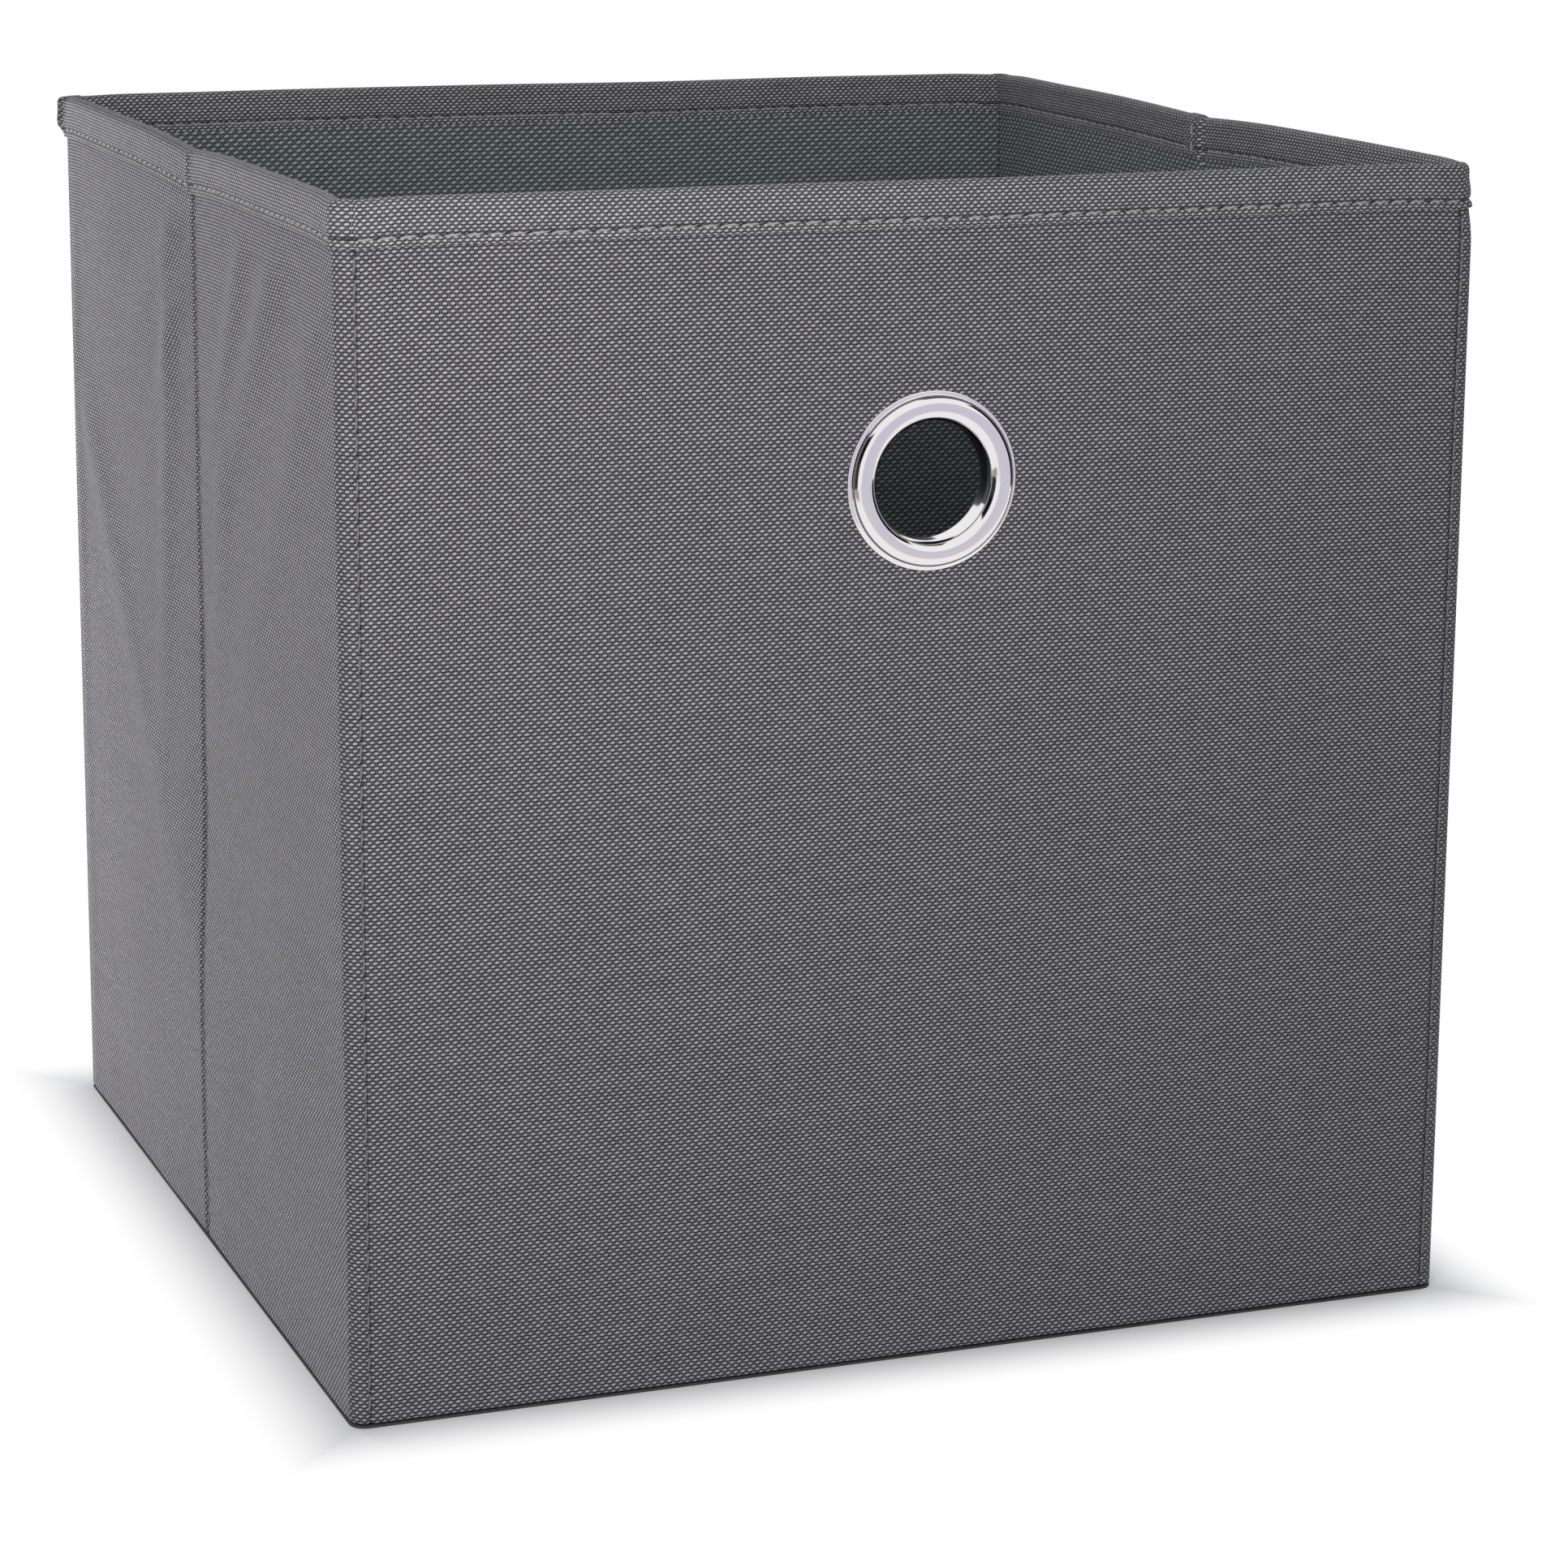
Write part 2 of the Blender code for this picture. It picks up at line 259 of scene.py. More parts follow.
def place(face: Face, run: Points, depth: Points, height: Points, square: bool = False) -> Points:
    """Turns wall coordinates into places in the bin.

    Args:
        face: the wall.
        run: distance along the wall from its middle, left to right seen from outside; past
            the corner's fold line it goes on round the corner.
        depth: distance inwards from the wall's outer face.
        height: distance above the floor.
        square: keeps straight on past the fold line, for what lies inside the corner.

    Returns:
        The points, one row of x, y and z each.
    """
    over = np.abs(run) - CORNER
    if square:
        across, inwards = run, depth
    else:
        angle = np.clip(over / ROUND, 0, QUARTER)
        radius = ROUND - depth
        past = np.maximum(over - ARC, 0)
        across = np.sign(run) * (np.minimum(np.abs(run), CORNER) + radius * np.sin(angle))
        inwards = ROUND - radius * np.cos(angle) + past
    turn = face.value * QUARTER
    x, y = across, inwards - HALF
    return np.stack(
        [x * math.cos(turn) - y * math.sin(turn), x * math.sin(turn) + y * math.cos(turn), height],
        axis=1,
    )


def slump(face: Face, run: Points, height: Points) -> Points:
    """How far the bin's soft front right corner leans inwards at the rim."""
    if face is Face.FRONT:
        past = run - CORNER - ARC / 2
    elif face is Face.RIGHT:
        past = -run - CORNER - ARC / 2
    else:
        return run * 0
    return SLUMP * bell(past / (7 * MM)) * smooth((height - RIM + 22 * MM) / (20 * MM))


def settle(
    face: Face, run: Points, depth: Points, height: Points, layer: Layer, square: bool = False
) -> Points:
    """Places wall coordinates with the wall's lean, sag and waves in them."""
    inwards = depth + bow(face, run, height) - lift(face, run, height, layer)
    inwards = inwards + slump(face, run, height)
    return place(face, run, inwards, height - dip(face, run, height), square)


# ---- making and finishing meshes -----------------------------------------------------------


def spaced(start: float, end: float, step: float) -> list[float]:
    """Even stations from start to end, no further apart than the step."""
    count = max(1, math.ceil(abs(end - start) / step - 1e-6))
    return [start + (end - start) * n / count for n in range(count + 1)]


def merged(*lists: Sequence[float]) -> list[float]:
    """All the stations in order, without repeats."""
    out: list[float] = []
    for value in sorted(v for stations in lists for v in stations):
        if not out or value - out[-1] > 0.02 * MM:
            out.append(value)
    return out


def pick_only(obj: bpy.types.Object) -> None:
    """Selects one object and makes it the active one."""
    bpy.ops.object.select_all(action="DESELECT")
    obj.select_set(True)
    bpy.context.view_layer.objects.active = obj


def fresh(name: str, primitive: Callable[..., object], **settings: object) -> bpy.types.Object:
    """Adds a primitive with its settings, and names it."""
    bpy.ops.object.select_all(action="DESELECT")
    primitive(**settings)
    obj = bpy.context.object
    obj.name = name
    obj.data.name = name
    return obj


def read_points(obj: bpy.types.Object) -> Points:
    """The mesh's vertices as an array."""
    flat = np.empty(len(obj.data.vertices) * 3, np.float32)
    obj.data.vertices.foreach_get("co", flat)
    return flat.reshape(-1, 3).astype(float)


def write_points(obj: bpy.types.Object, points: Points) -> None:
    """Moves the mesh's vertices."""
    obj.data.vertices.foreach_set("co", points.astype(np.float32).ravel())
    obj.data.update()


def write_uv(obj: bpy.types.Object, across: Points, up: Points) -> None:
    """Gives each vertex its place on the cloth, in metres, as the piece's UV map."""
    mesh = obj.data
    chart = mesh.uv_layers.active or mesh.uv_layers.new(name="cloth")
    chart.name = "cloth"
    corner = np.empty(len(mesh.loops), np.int32)
    mesh.loops.foreach_get("vertex_index", corner)
    chart.data.foreach_set("uv", np.stack([across[corner], up[corner]], 1).astype(np.float32).ravel())


def apply_modifier(obj: bpy.types.Object, name: str, kind: str, **settings: object) -> None:
    """Adds a modifier with its settings, and applies it."""
    made = obj.modifiers.new(name, kind)
    for key, value in settings.items():
        setattr(made, key, value)
    pick_only(obj)
    bpy.ops.object.modifier_apply(modifier=made.name)


def thicken(obj: bpy.types.Object, thickness: float) -> None:
    """Gives a sheet its thickness, behind its face."""
    apply_modifier(obj, "thickness", "SOLIDIFY", thickness=thickness, offset=-1.0)


def smooth_faces(obj: bpy.types.Object, degrees: float = 40.0) -> None:
    """Shades the piece smooth, except over edges sharper than the angle."""
    pick_only(obj)
    bpy.ops.object.shade_smooth_by_angle(angle=math.radians(degrees))


def turn_faces_out(obj: bpy.types.Object) -> None:
    """Points a closed shell's faces outwards."""
    pick_only(obj)
    bpy.ops.object.mode_set(mode="EDIT")
    bpy.ops.mesh.select_all(action="SELECT")
    bpy.ops.mesh.normals_make_consistent(inside=False)
    bpy.ops.object.mode_set(mode="OBJECT")


def open_hole(obj: bpy.types.Object, radius: float) -> None:
    """Opens the eyelet's round hole in a flat sheet of the front wall."""
    points = read_points(obj)
    away = np.hypot(points[:, 0], points[:, 2] - EYELET_HEIGHT)
    pick_only(obj)
    for edge in obj.data.edges:
        edge.select = False
    for vertex in obj.data.vertices:
        vertex.select = False
    for polygon in obj.data.polygons:
        polygon.select = bool(min(away[list(polygon.vertices)]) < radius)
    bpy.ops.object.mode_set(mode="EDIT")
    bpy.ops.mesh.select_mode(type="FACE")
    bpy.ops.mesh.delete(type="FACE")
    bpy.ops.object.mode_set(mode="OBJECT")
    uses: dict[tuple[int, int], int] = {}
    for polygon in obj.data.polygons:
        for key in polygon.edge_keys:
            uses[key] = uses.get(key, 0) + 1
    points = read_points(obj)
    offset = points - np.array([0, 0, EYELET_HEIGHT])
    away = np.hypot(offset[:, 0], offset[:, 2])
    for vertex in {v for key, count in uses.items() if count == 1 for v in key}:
        if away[vertex] < 2.2 * radius:
            points[vertex, 0] *= radius / away[vertex]
            points[vertex, 2] = EYELET_HEIGHT + offset[vertex, 2] * radius / away[vertex]
    write_points(obj, points)


def skin(
    name: str, face: Face, runs: Sequence[float], rows: Sequence[Row], thickness: float,
    layer: Layer = Layer.PLAIN, square: bool = False, hole: Optional[float] = None,
    extra: Optional[Callable[[Points, Points, Points], Points]] = None,
    shade: Optional[Callable[[Points, Points, Points], Points]] = None,
) -> bpy.types.Object:
    """A sheet of cloth or board on a wall, from a grid laid over it and given its thickness.

    Args:
        name: the piece's name.
        face: the wall that it is on.
        runs: the stations along the wall.
        rows: the cross-section as (depth, height) points, upwards on an outer side.
        thickness: of the sheet, behind its face.
        layer: decides how it waves.
        square: goes straight on past the corner's fold line.
        hole: radius of the eyelet's hole, if it has one.
        extra: adds to the depth from the run, depth and height.
        shade: how deep in a seam each point lies, from 0 to 1, for the painted shade that darkens the
            cloth's colour there.

    Returns:
        The finished piece, which rides on nothing yet.
    """
    obj = fresh(
        name, bpy.ops.mesh.primitive_grid_add, x_subdivisions=len(runs) - 1,
        y_subdivisions=len(rows) - 1, size=1.0, calc_uvs=True,
    )
    grid = read_points(obj) + 0.5
    column = np.rint(grid[:, 0] * (len(runs) - 1)).astype(int)
    line = np.rint(grid[:, 1] * (len(rows) - 1)).astype(int)
    run = np.array(runs)[column]
    section = np.array(rows)
    depth, height = section[line, 0], section[line, 1]
    if shade is not None:
        # The seam attribute holds painted shade: how much darker each point of the cloth is drawn.
        marks = obj.data.attributes.new("seam", "FLOAT", "POINT")
        marks.data.foreach_set("value", shade(run, depth, height).astype(np.float32))
    if extra is not None:
        depth = depth + extra(run, depth, height)
    write_points(obj, settle(face, run, depth, height, layer, square))
    steps = np.hypot(*np.diff(section, axis=0).T)
    length = np.concatenate([[0.0], np.cumsum(steps)])
    write_uv(obj, face.value * SIDE_LENGTH + run, (length - length[-1] + section[:, 1].max())[line])
    if hole is not None:
        open_hole(obj, hole)
    thicken(obj, thickness)
    smooth_faces(obj)
    return obj


def stitch_row(
    name: str, face: Face, start: float, end: float, at: float, stand: float,
    upright: bool = False, inside: bool = False,
) -> bpy.types.Object:
    """A row of machine stitches: one bead of thread, repeated at the pitch and laid on a wall.

    Args:
        name: the piece's name.
        face: the wall that it is on.
        start: where the row starts, along the wall or up it.
        end: where it ends.
        at: its height, or its place along the wall if it is upright.
        stand: the depth of the cloth's face under it.
        upright: runs up the wall.
        inside: lies on the wall's inner side.

    Returns:
        The row, which rides on nothing yet.
    """
    count = max(1, round((end - start) / STITCH_PITCH))
    pitch = (end - start) / count
    obj = fresh(
        name, bpy.ops.mesh.primitive_uv_sphere_add, segments=8, ring_count=6, radius=1.0
    )
    bead = read_points(obj)[:, [2, 1, 0]]
    taper = 1 - 0.35 * bead[:, 0] ** 2
    bead = np.stack([
        bead[:, 0] * 0.46 * pitch + pitch / 2,
        bead[:, 1] * 0.33 * MM * taper + bead[:, 0] * 0.16 * MM,
        bead[:, 2] * 0.32 * MM * taper + 0.10 * MM - 0.26 * MM * bead[:, 0] ** 2,
    ], axis=1)
    write_points(obj, bead)
    apply_modifier(
        obj, "repeat", "ARRAY", count=count, use_relative_offset=False,
        use_constant_offset=True, constant_offset_displace=(pitch, 0, 0),
    )
    points = read_points(obj)
    along, across = points[:, 0] + start, points[:, 1] + at
    along = along + 0.12 * MM * np.sin(np.floor(points[:, 0] / pitch) * 2.4)
    depth = stand + points[:, 2] if inside else stand - points[:, 2]
    run, height = (across, along) if upright else (along, across)
    layer = Layer.PLAIN if at > BINDING_FOOT and not upright else Layer.OUTER
    write_points(obj, settle(face, run, depth, height, layer))
    turn_faces_out(obj)
    smooth_faces(obj, 80)
    return obj


def join(name: str, parts: Sequence[bpy.types.Object]) -> bpy.types.Object:
    """Joins finished meshes into one piece."""
    pick_only(parts[0])
    for part in parts:
        part.select_set(True)
    bpy.ops.object.join()
    parts[0].name = parts[0].data.name = name
    return parts[0]


# ---- shader graphs -------------------------------------------------------------------------


class Wire:
    """A socket's value in a shader graph, on which plain arithmetic adds Math nodes."""

    def __init__(self, graph: "Graph", socket: bpy.types.NodeSocket) -> None:
        """Wraps the socket of a graph."""
        self.graph = graph
        self.socket = socket

    def __add__(self, other: "Value") -> "Wire":
        """The sum."""
        return self.graph.math("ADD", self, other)

    def __radd__(self, other: "Value") -> "Wire":
        """The sum, from the right."""
        return self.graph.math("ADD", other, self)

    def __sub__(self, other: "Value") -> "Wire":
        """The difference."""
        return self.graph.math("SUBTRACT", self, other)

    def __rsub__(self, other: "Value") -> "Wire":
        """The difference, from the right."""
        return self.graph.math("SUBTRACT", other, self)

    def __mul__(self, other: "Value") -> "Wire":
        """The product."""
        return self.graph.math("MULTIPLY", self, other)

    def __rmul__(self, other: "Value") -> "Wire":
        """The product, from the right."""
        return self.graph.math("MULTIPLY", other, self)

    def __truediv__(self, other: "Value") -> "Wire":
        """The quotient."""
        return self.graph.math("DIVIDE", self, other)

    def __pow__(self, other: "Value") -> "Wire":
        """The power."""
        return self.graph.math("POWER", self, other)

    def __abs__(self) -> "Wire":
        """The size without its sign."""
        return self.graph.math("ABSOLUTE", self)

    def floor(self) -> "Wire":
        """The whole number below."""
        return self.graph.math("FLOOR", self)

    def fract(self) -> "Wire":
        """What is left above the whole number below."""
        return self.graph.math("FRACT", self)

    def eased(self, low: float, high: float) -> "Wire":
        """0 below low, 1 above high and eased between, or the other way round."""
        return self.graph.ease(self, low, high)


Value = Wire | float


class Graph:
    """A material's shader graph, with one Principled BSDF."""

    def __init__(self, name: str) -> None:
        """Starts a material with an empty graph."""
        self.material = bpy.data.materials.new(name)
        self.material.use_nodes = True
        self.tree = self.material.node_tree
        self.shader = self.tree.nodes["Principled BSDF"]
        self.output = self.tree.nodes["Material Output"]

    def node(
        self, kind: str, settings: Optional[dict[str, object]] = None,
        inputs: Optional[dict[str | int, object]] = None,
    ) -> bpy.types.Node:
        """Adds a node.

        Args:
            kind: its type, without the ShaderNode in front.
            settings: its properties, set first.
            inputs: values or wires for its sockets, by name or number.

        Returns:
            The node.
        """
        made = self.tree.nodes.new("ShaderNode" + kind)
        for key, value in (settings or {}).items():
            setattr(made, key, value)
        for key, value in (inputs or {}).items():
            self.feed(made.inputs[key], value)
        return made

    def feed(self, socket: bpy.types.NodeSocket, value: object) -> None:
        """Links a wire or a node's first output to a socket, or sets its value."""
        if isinstance(value, Wire):
            self.tree.links.new(value.socket, socket)
        elif isinstance(value, bpy.types.Node):
            self.tree.links.new(value.outputs[0], socket)
        else:
            socket.default_value = value

    def wire(self, node: bpy.types.Node, output: str | int = 0) -> Wire:
        """One output of a node as a wire."""
        return Wire(self, node.outputs[output])

    def math(self, operation: str, a: Value, b: Value = 0.0) -> Wire:
        """A Math node's result."""
        return self.wire(self.node("Math", {"operation": operation}, {0: a, 1: b}))

    def ease(self, value: Value, low: float, high: float) -> Wire:
        """A value eased from 0 at low to 1 at high."""
        return self.wire(self.node(
            "MapRange", {"interpolation_type": "SMOOTHSTEP"},
            {"Value": value, "From Min": low, "From Max": high},
        ))

    def mixed(self, share: Value, a: object, b: object, how: str = "MIX") -> Wire:
        """A colour between two colours."""
        made = self.node("Mix", {"data_type": "RGBA", "blend_type": how})
        self.feed(made.inputs[0], share)
        for socket, value in ((made.inputs[6], a), (made.inputs[7], b)):
            self.feed(socket, (*value, 1.0) if isinstance(value, tuple) else value)
        return Wire(self, made.outputs[2])

    def toned(self, colour: object, factor: Value) -> Wire:
        """A colour made lighter or darker by a factor."""
        grey = self.node("CombineXYZ", {}, {0: factor, 1: factor, 2: factor})
        return self.mixed(1.0, colour, self.wire(grey), "MULTIPLY")

    def cloth_place(self) -> tuple[Wire, Wire]:
        """The place on the cloth, in metres across and up."""
        chart = self.node("UVMap", {"uv_map": "cloth"})
        split = self.node("SeparateXYZ", {}, {0: chart})
        return self.wire(split, 0), self.wire(split, 1)

    def object_place(self) -> Wire:
        """The place in the bin."""
        return self.wire(self.node("TexCoord"), "Object")

    def noise(self, where: object, scale: float, detail: float = 2.0, rough: float = 0.5) -> Wire:
        """Noise from 0 to 1, with its waves per metre."""
        return self.wire(self.node(
            "TexNoise", {}, {"Vector": where, "Scale": scale, "Detail": detail, "Roughness": rough},
        ))

    def vector(self, x: Value, y: Value, z: Value = 0.0) -> Wire:
        """Three values as one vector."""
        return self.wire(self.node("CombineXYZ", {}, {0: x, 1: y, 2: z}))

    def set(self, **constants: object) -> None:
        """Sets the shader's own sockets, by name with _ for each space."""
        for key, value in constants.items():
            self.shader.inputs[key.replace("_", " ")].default_value = value

    def surface(
        self, colour: object, roughness: Value, height: Optional[Wire] = None,
        depth: float = 0.0002, strength: float = 1.0,
    ) -> bpy.types.Material:
        """Feeds the shader.

        Args:
            colour: of the surface.
            roughness: of the surface.
            height: of the relief, from 0 to 1.
            depth: of the relief, in metres.
            strength: of the relief's effect.

        Returns:
            The finished material.
        """
        self.feed(self.shader.inputs["Base Color"], colour)
        self.feed(self.shader.inputs["Roughness"], roughness)
        if height is not None:
            bump = self.node("Bump", {}, {"Height": height, "Distance": depth, "Strength": strength})
            self.feed(self.shader.inputs["Normal"], self.wire(bump))
        return self.material


# ---- finishes ------------------------------------------------------------------------------


@dataclass(frozen=True)
class Weave:
    """Woven cloth: rows of floats in brick order, with dark gaps between them; the gaps' near-black is
    partly the open weave and partly painted shade between the floats, and each float has a painted
    highlight at its centre.
    """

    name: str
    repeat: float                       # of the floats along a row
    row: float                          # from row to row
    float_colour: tuple[float, float, float]
    gap_colour: tuple[float, float, float]
    float_length: float = 0.35          # half sizes, in shares of the repeat and the row
    float_height: float = 0.47
    slant: float = 0.12
    relief: float = 0.34 * MM
    roughness: float = 0.55
    sheen: float = 0.04
    mottle: float = 0.07

    def build(self) -> bpy.types.Material:
        """Makes the material."""
        g = Graph(self.name)
        across, up = g.cloth_place()
        where = g.vector(across, up)
        drift = g.noise(where, 60.0, 1.0) - 0.5
        wander = g.noise(where, 420.0, 1.0) - 0.5
        x = across / self.repeat + drift * 0.12 + wander * 0.08
        y = up / self.row + wander * 0.10
        row = y.floor()
        shifted = x + (row * 0.5).fract()
        cell = shifted.floor()
        fx, fy = shifted.fract() - 0.5, y.fract() - 0.5
        fx = fx - fy * self.slant
        each = g.wire(g.node(
            "TexWhiteNoise", {"noise_dimensions": "2D"}, {"Vector": g.vector(cell, row)}
        ))
        reach = 1.0 + (each - 0.5) * 0.12
        oval = ((fx / self.float_length) ** 2.0 + (fy / self.float_height) ** 2.0) / reach
        weft = 1.0 - oval.eased(0.50, 1.10)
        side = abs(fx) - 0.5
        warp = 1.0 - ((side / 0.15) ** 2.0 + (fy / 0.5) ** 2.0).eased(0.2, 1.2)
        fibre = g.noise(g.vector(across * 0.35, up * 2.6), 5200.0, 2.0, 0.6)
        cloud = g.noise(where, 22.0, 3.0, 0.6)
        # seam: painted shade that darkens the cloth in seams, stitch grooves and the middle valley
        # (tone times 1 - seam * 0.8)
        seam = g.wire(g.node("Attribute", {"attribute_name": "seam"}), "Fac")
        slub = g.noise(g.vector(across * 9.0, up * 210.0), 1.0, 2.0, 0.6)
        # - oval * 0.24 * weft: painted highlight and shade, each float drawn lighter at its centre and
        #   darker towards its edges
        tone = 1.00 + (each - 0.5) * 0.12 + (fibre - 0.5) * 0.30 - oval * 0.24 * weft
        tone = tone + (slub - 0.5) * 0.16
        tone = (tone + (cloud - 0.5) * self.mottle) * (1.0 - seam * 0.8)
        body = g.mixed(weft * 0.95 + warp * 0.22, self.gap_colour, self.float_colour)
        height = weft * (1.15 - oval * 0.45) + warp * 0.35 + fibre * 0.10
        g.set(Sheen_Weight=self.sheen, Sheen_Roughness=0.5, Specular_IOR_Level=0.22)
        rough = self.roughness + (1.0 - weft) * 0.2
        return g.surface(g.toned(body, tone), rough, height, self.relief, 0.85)


@dataclass(frozen=True)
class Thread:
    """Sewing thread, with its twist."""

    name: str
    colour: tuple[float, float, float]

    def build(self) -> bpy.types.Material:
        """Makes the material."""
        g = Graph(self.name)
        where = g.object_place()
        split = g.node("SeparateXYZ", {}, {0: where})
        turned = (g.wire(split, 0) + g.wire(split, 1) + g.wire(split, 2) * 1.3) * 2600.0
        ply = g.math("SINE", turned * 2.4)
        fuzz = g.noise(where, 2400.0, 2.0)
        tone = 0.82 + ply * 0.14 + (fuzz - 0.5) * 0.3
        g.set(Sheen_Weight=0.2, Specular_IOR_Level=0.3)
        return g.surface(g.toned(self.colour, tone), 0.6, ply * 0.5 + fuzz, 0.08 * MM)


@dataclass(frozen=True)
class Felt:
    """Nonwoven cloth with its grid of pressed points."""

    name: str
    colour: tuple[float, float, float]
    pitch: float = 2.2 * MM

    def build(self) -> bpy.types.Material:
        """Makes the material."""
        g = Graph(self.name)
        where = g.object_place()
        split = g.node("SeparateXYZ", {}, {0: where})
        a = (g.wire(split, 0) + g.wire(split, 1)) / self.pitch
        b = (g.wire(split, 0) - g.wire(split, 1)) / self.pitch
        away = ((a.fract() - 0.5) ** 2.0 + (b.fract() - 0.5) ** 2.0)
        pressed = 1.0 - away.eased(0.02, 0.09)
        fibre = g.noise(where, 2600.0, 4.0, 0.7)
        cloud = g.noise(where, 60.0, 3.0)
        tone = 0.9 + (fibre - 0.5) * 0.5 + (cloud - 0.5) * 0.3 - pressed * 0.22
        g.set(Specular_IOR_Level=0.25)
        height = fibre * 0.4 + (1.0 - pressed)
        return g.surface(g.toned(self.colour, tone), 0.8, height, 0.15 * MM)


@dataclass(frozen=True)
class Cardboard:
    """Grey board with flecks of pulp."""

    name: str
    colour: tuple[float, float, float]

    def build(self) -> bpy.types.Material:
        """Makes the material."""
        g = Graph(self.name)
        where = g.object_place()
        pulp = g.noise(where, 700.0, 5.0, 0.7)
        cloud = g.noise(where, 35.0, 3.0)
        fleck = g.noise(where, 1500.0, 1.0).eased(0.66, 0.74)
        tone = 0.92 + (pulp - 0.5) * 0.3 + (cloud - 0.5) * 0.2 - fleck * 0.35
        return g.surface(g.toned(self.colour, tone), 0.88, pulp, 0.06 * MM)


@dataclass(frozen=True)
class Chrome:
    """Bright nickel-chrome plating with faint handling marks."""

    name: str
    colour: tuple[float, float, float]

    def build(self) -> bpy.types.Material:
        """Makes the material."""
        g = Graph(self.name)
        where = g.object_place()
        haze = g.noise(where, 60.0, 2.0, 0.5)
        drawn = g.node("Mapping", {}, {"Vector": where, "Scale": (700.0, 700.0, 120.0)})
        rub = g.noise(drawn, 1.0, 2.0)
        g.set(Metallic=1.0)
        rough = 0.08 + haze * 0.03 + rub.eased(0.62, 0.85) * 0.03
        colour = g.toned(self.colour, 0.97 + haze * 0.05)
        return g.surface(colour, rough, haze, 0.01 * MM, 0.1)


# ---- the bin's pieces ----------------------------------------------------------------------


@dataclass
class Wardrobe:
    """The materials that the pieces are dressed in."""

    cloth: bpy.types.Material
    lining: bpy.types.Material
    binding: bpy.types.Material
    thread: bpy.types.Material
    seam_thread: bpy.types.Material
    base: bpy.types.Material
    insert: bpy.types.Material
    board: bpy.types.Material
    chrome: bpy.types.Material

    @classmethod
    def cut(cls) -> "Wardrobe":
        """Makes all the materials."""
        return cls(
            cloth=Weave(
                "outer_weave", 2.09 * MM, 0.96 * MM, (0.385, 0.376, 0.404), (0.026, 0.025, 0.030)
            ).build(),
            lining=Weave(
                "lining_weave", 2.9 * MM, 1.3 * MM, (0.410, 0.450, 0.448), (0.058, 0.068, 0.070),
                float_length=0.30, float_height=0.44, slant=0.30, roughness=0.5, sheen=0.05,
            ).build(),
            binding=Weave(
                "binding_weave", 1.95 * MM, 0.92 * MM, (0.455, 0.446, 0.462),
                (0.034, 0.033, 0.037), relief=0.34 * MM, mottle=0.12,
            ).build(),
            thread=Thread("thread", (0.440, 0.430, 0.436)).build(),
            seam_thread=Thread("seam_thread", (0.215, 0.210, 0.215)).build(),
            base=Felt("base_felt", (0.060, 0.060, 0.066)).build(),
            insert=Felt("insert_felt", (0.075, 0.082, 0.084), 3.0 * MM).build(),
            board=Cardboard("grey_board", (0.30, 0.28, 0.25)).build(),
            chrome=Chrome("chrome", (0.83, 0.81, 0.815)).build(),
        )


def dress(
    obj: bpy.types.Object, material: bpy.types.Material, nodes: Sequence[str] = ()
) -> bpy.types.Object:
    """Gives a piece its material and slot, and hides the CAD nodes that it stands for."""
    obj.data.materials.clear()
    obj.data.materials.append(material)
    if nodes:
        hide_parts(*nodes)
    return obj


SIDES = {Face.LEFT: ("left", -1), Face.RIGHT: ("right", 1)}
NUBS = {Face.BACK: CORNER + 0.62 * ARC, Face.LEFT: -CORNER - 0.38 * ARC}  # the binding's folded end


def half_body(side: str, run: float, face: Face) -> str:
    """The body of a side wall's half at a run: the left wall runs to the front."""
    to_front = run > 0 if face is Face.LEFT else run < 0
    return f"{side}_{'front' if to_front else 'rear'}"


def over_middle(piece: bpy.types.Object) -> None:
    """Bakes the transform of a side wall's piece into its mesh; it bends nothing over the middle fold.
    """
    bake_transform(piece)


@dataclass(frozen=True)
class Corner:
    """One upright corner of the bin, from a side wall round to the front or back wall."""

    name: str
    side: Face
    run_sign: int           # the side wall's run towards this corner
    half: str               # the side wall's body here
    wall: str               # the front or back wall's body
    is_open: bool = False   # the one corner that no joint closes

    def bend(self, piece: bpy.types.Object, stand: float = 0.0) -> None:
        """Bakes the transform of a piece that lies round the corner into its mesh; it bends nothing
        between the two walls.
        """
        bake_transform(piece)


CORNERS = (
    Corner("front_left", Face.LEFT, 1, "left_front", "front"),
    Corner("back_left", Face.LEFT, -1, "left_rear", "base"),
    Corner("back_right", Face.RIGHT, 1, "right_rear", "base"),
    Corner("front_right", Face.RIGHT, -1, "right_front", "front", is_open=True),
)


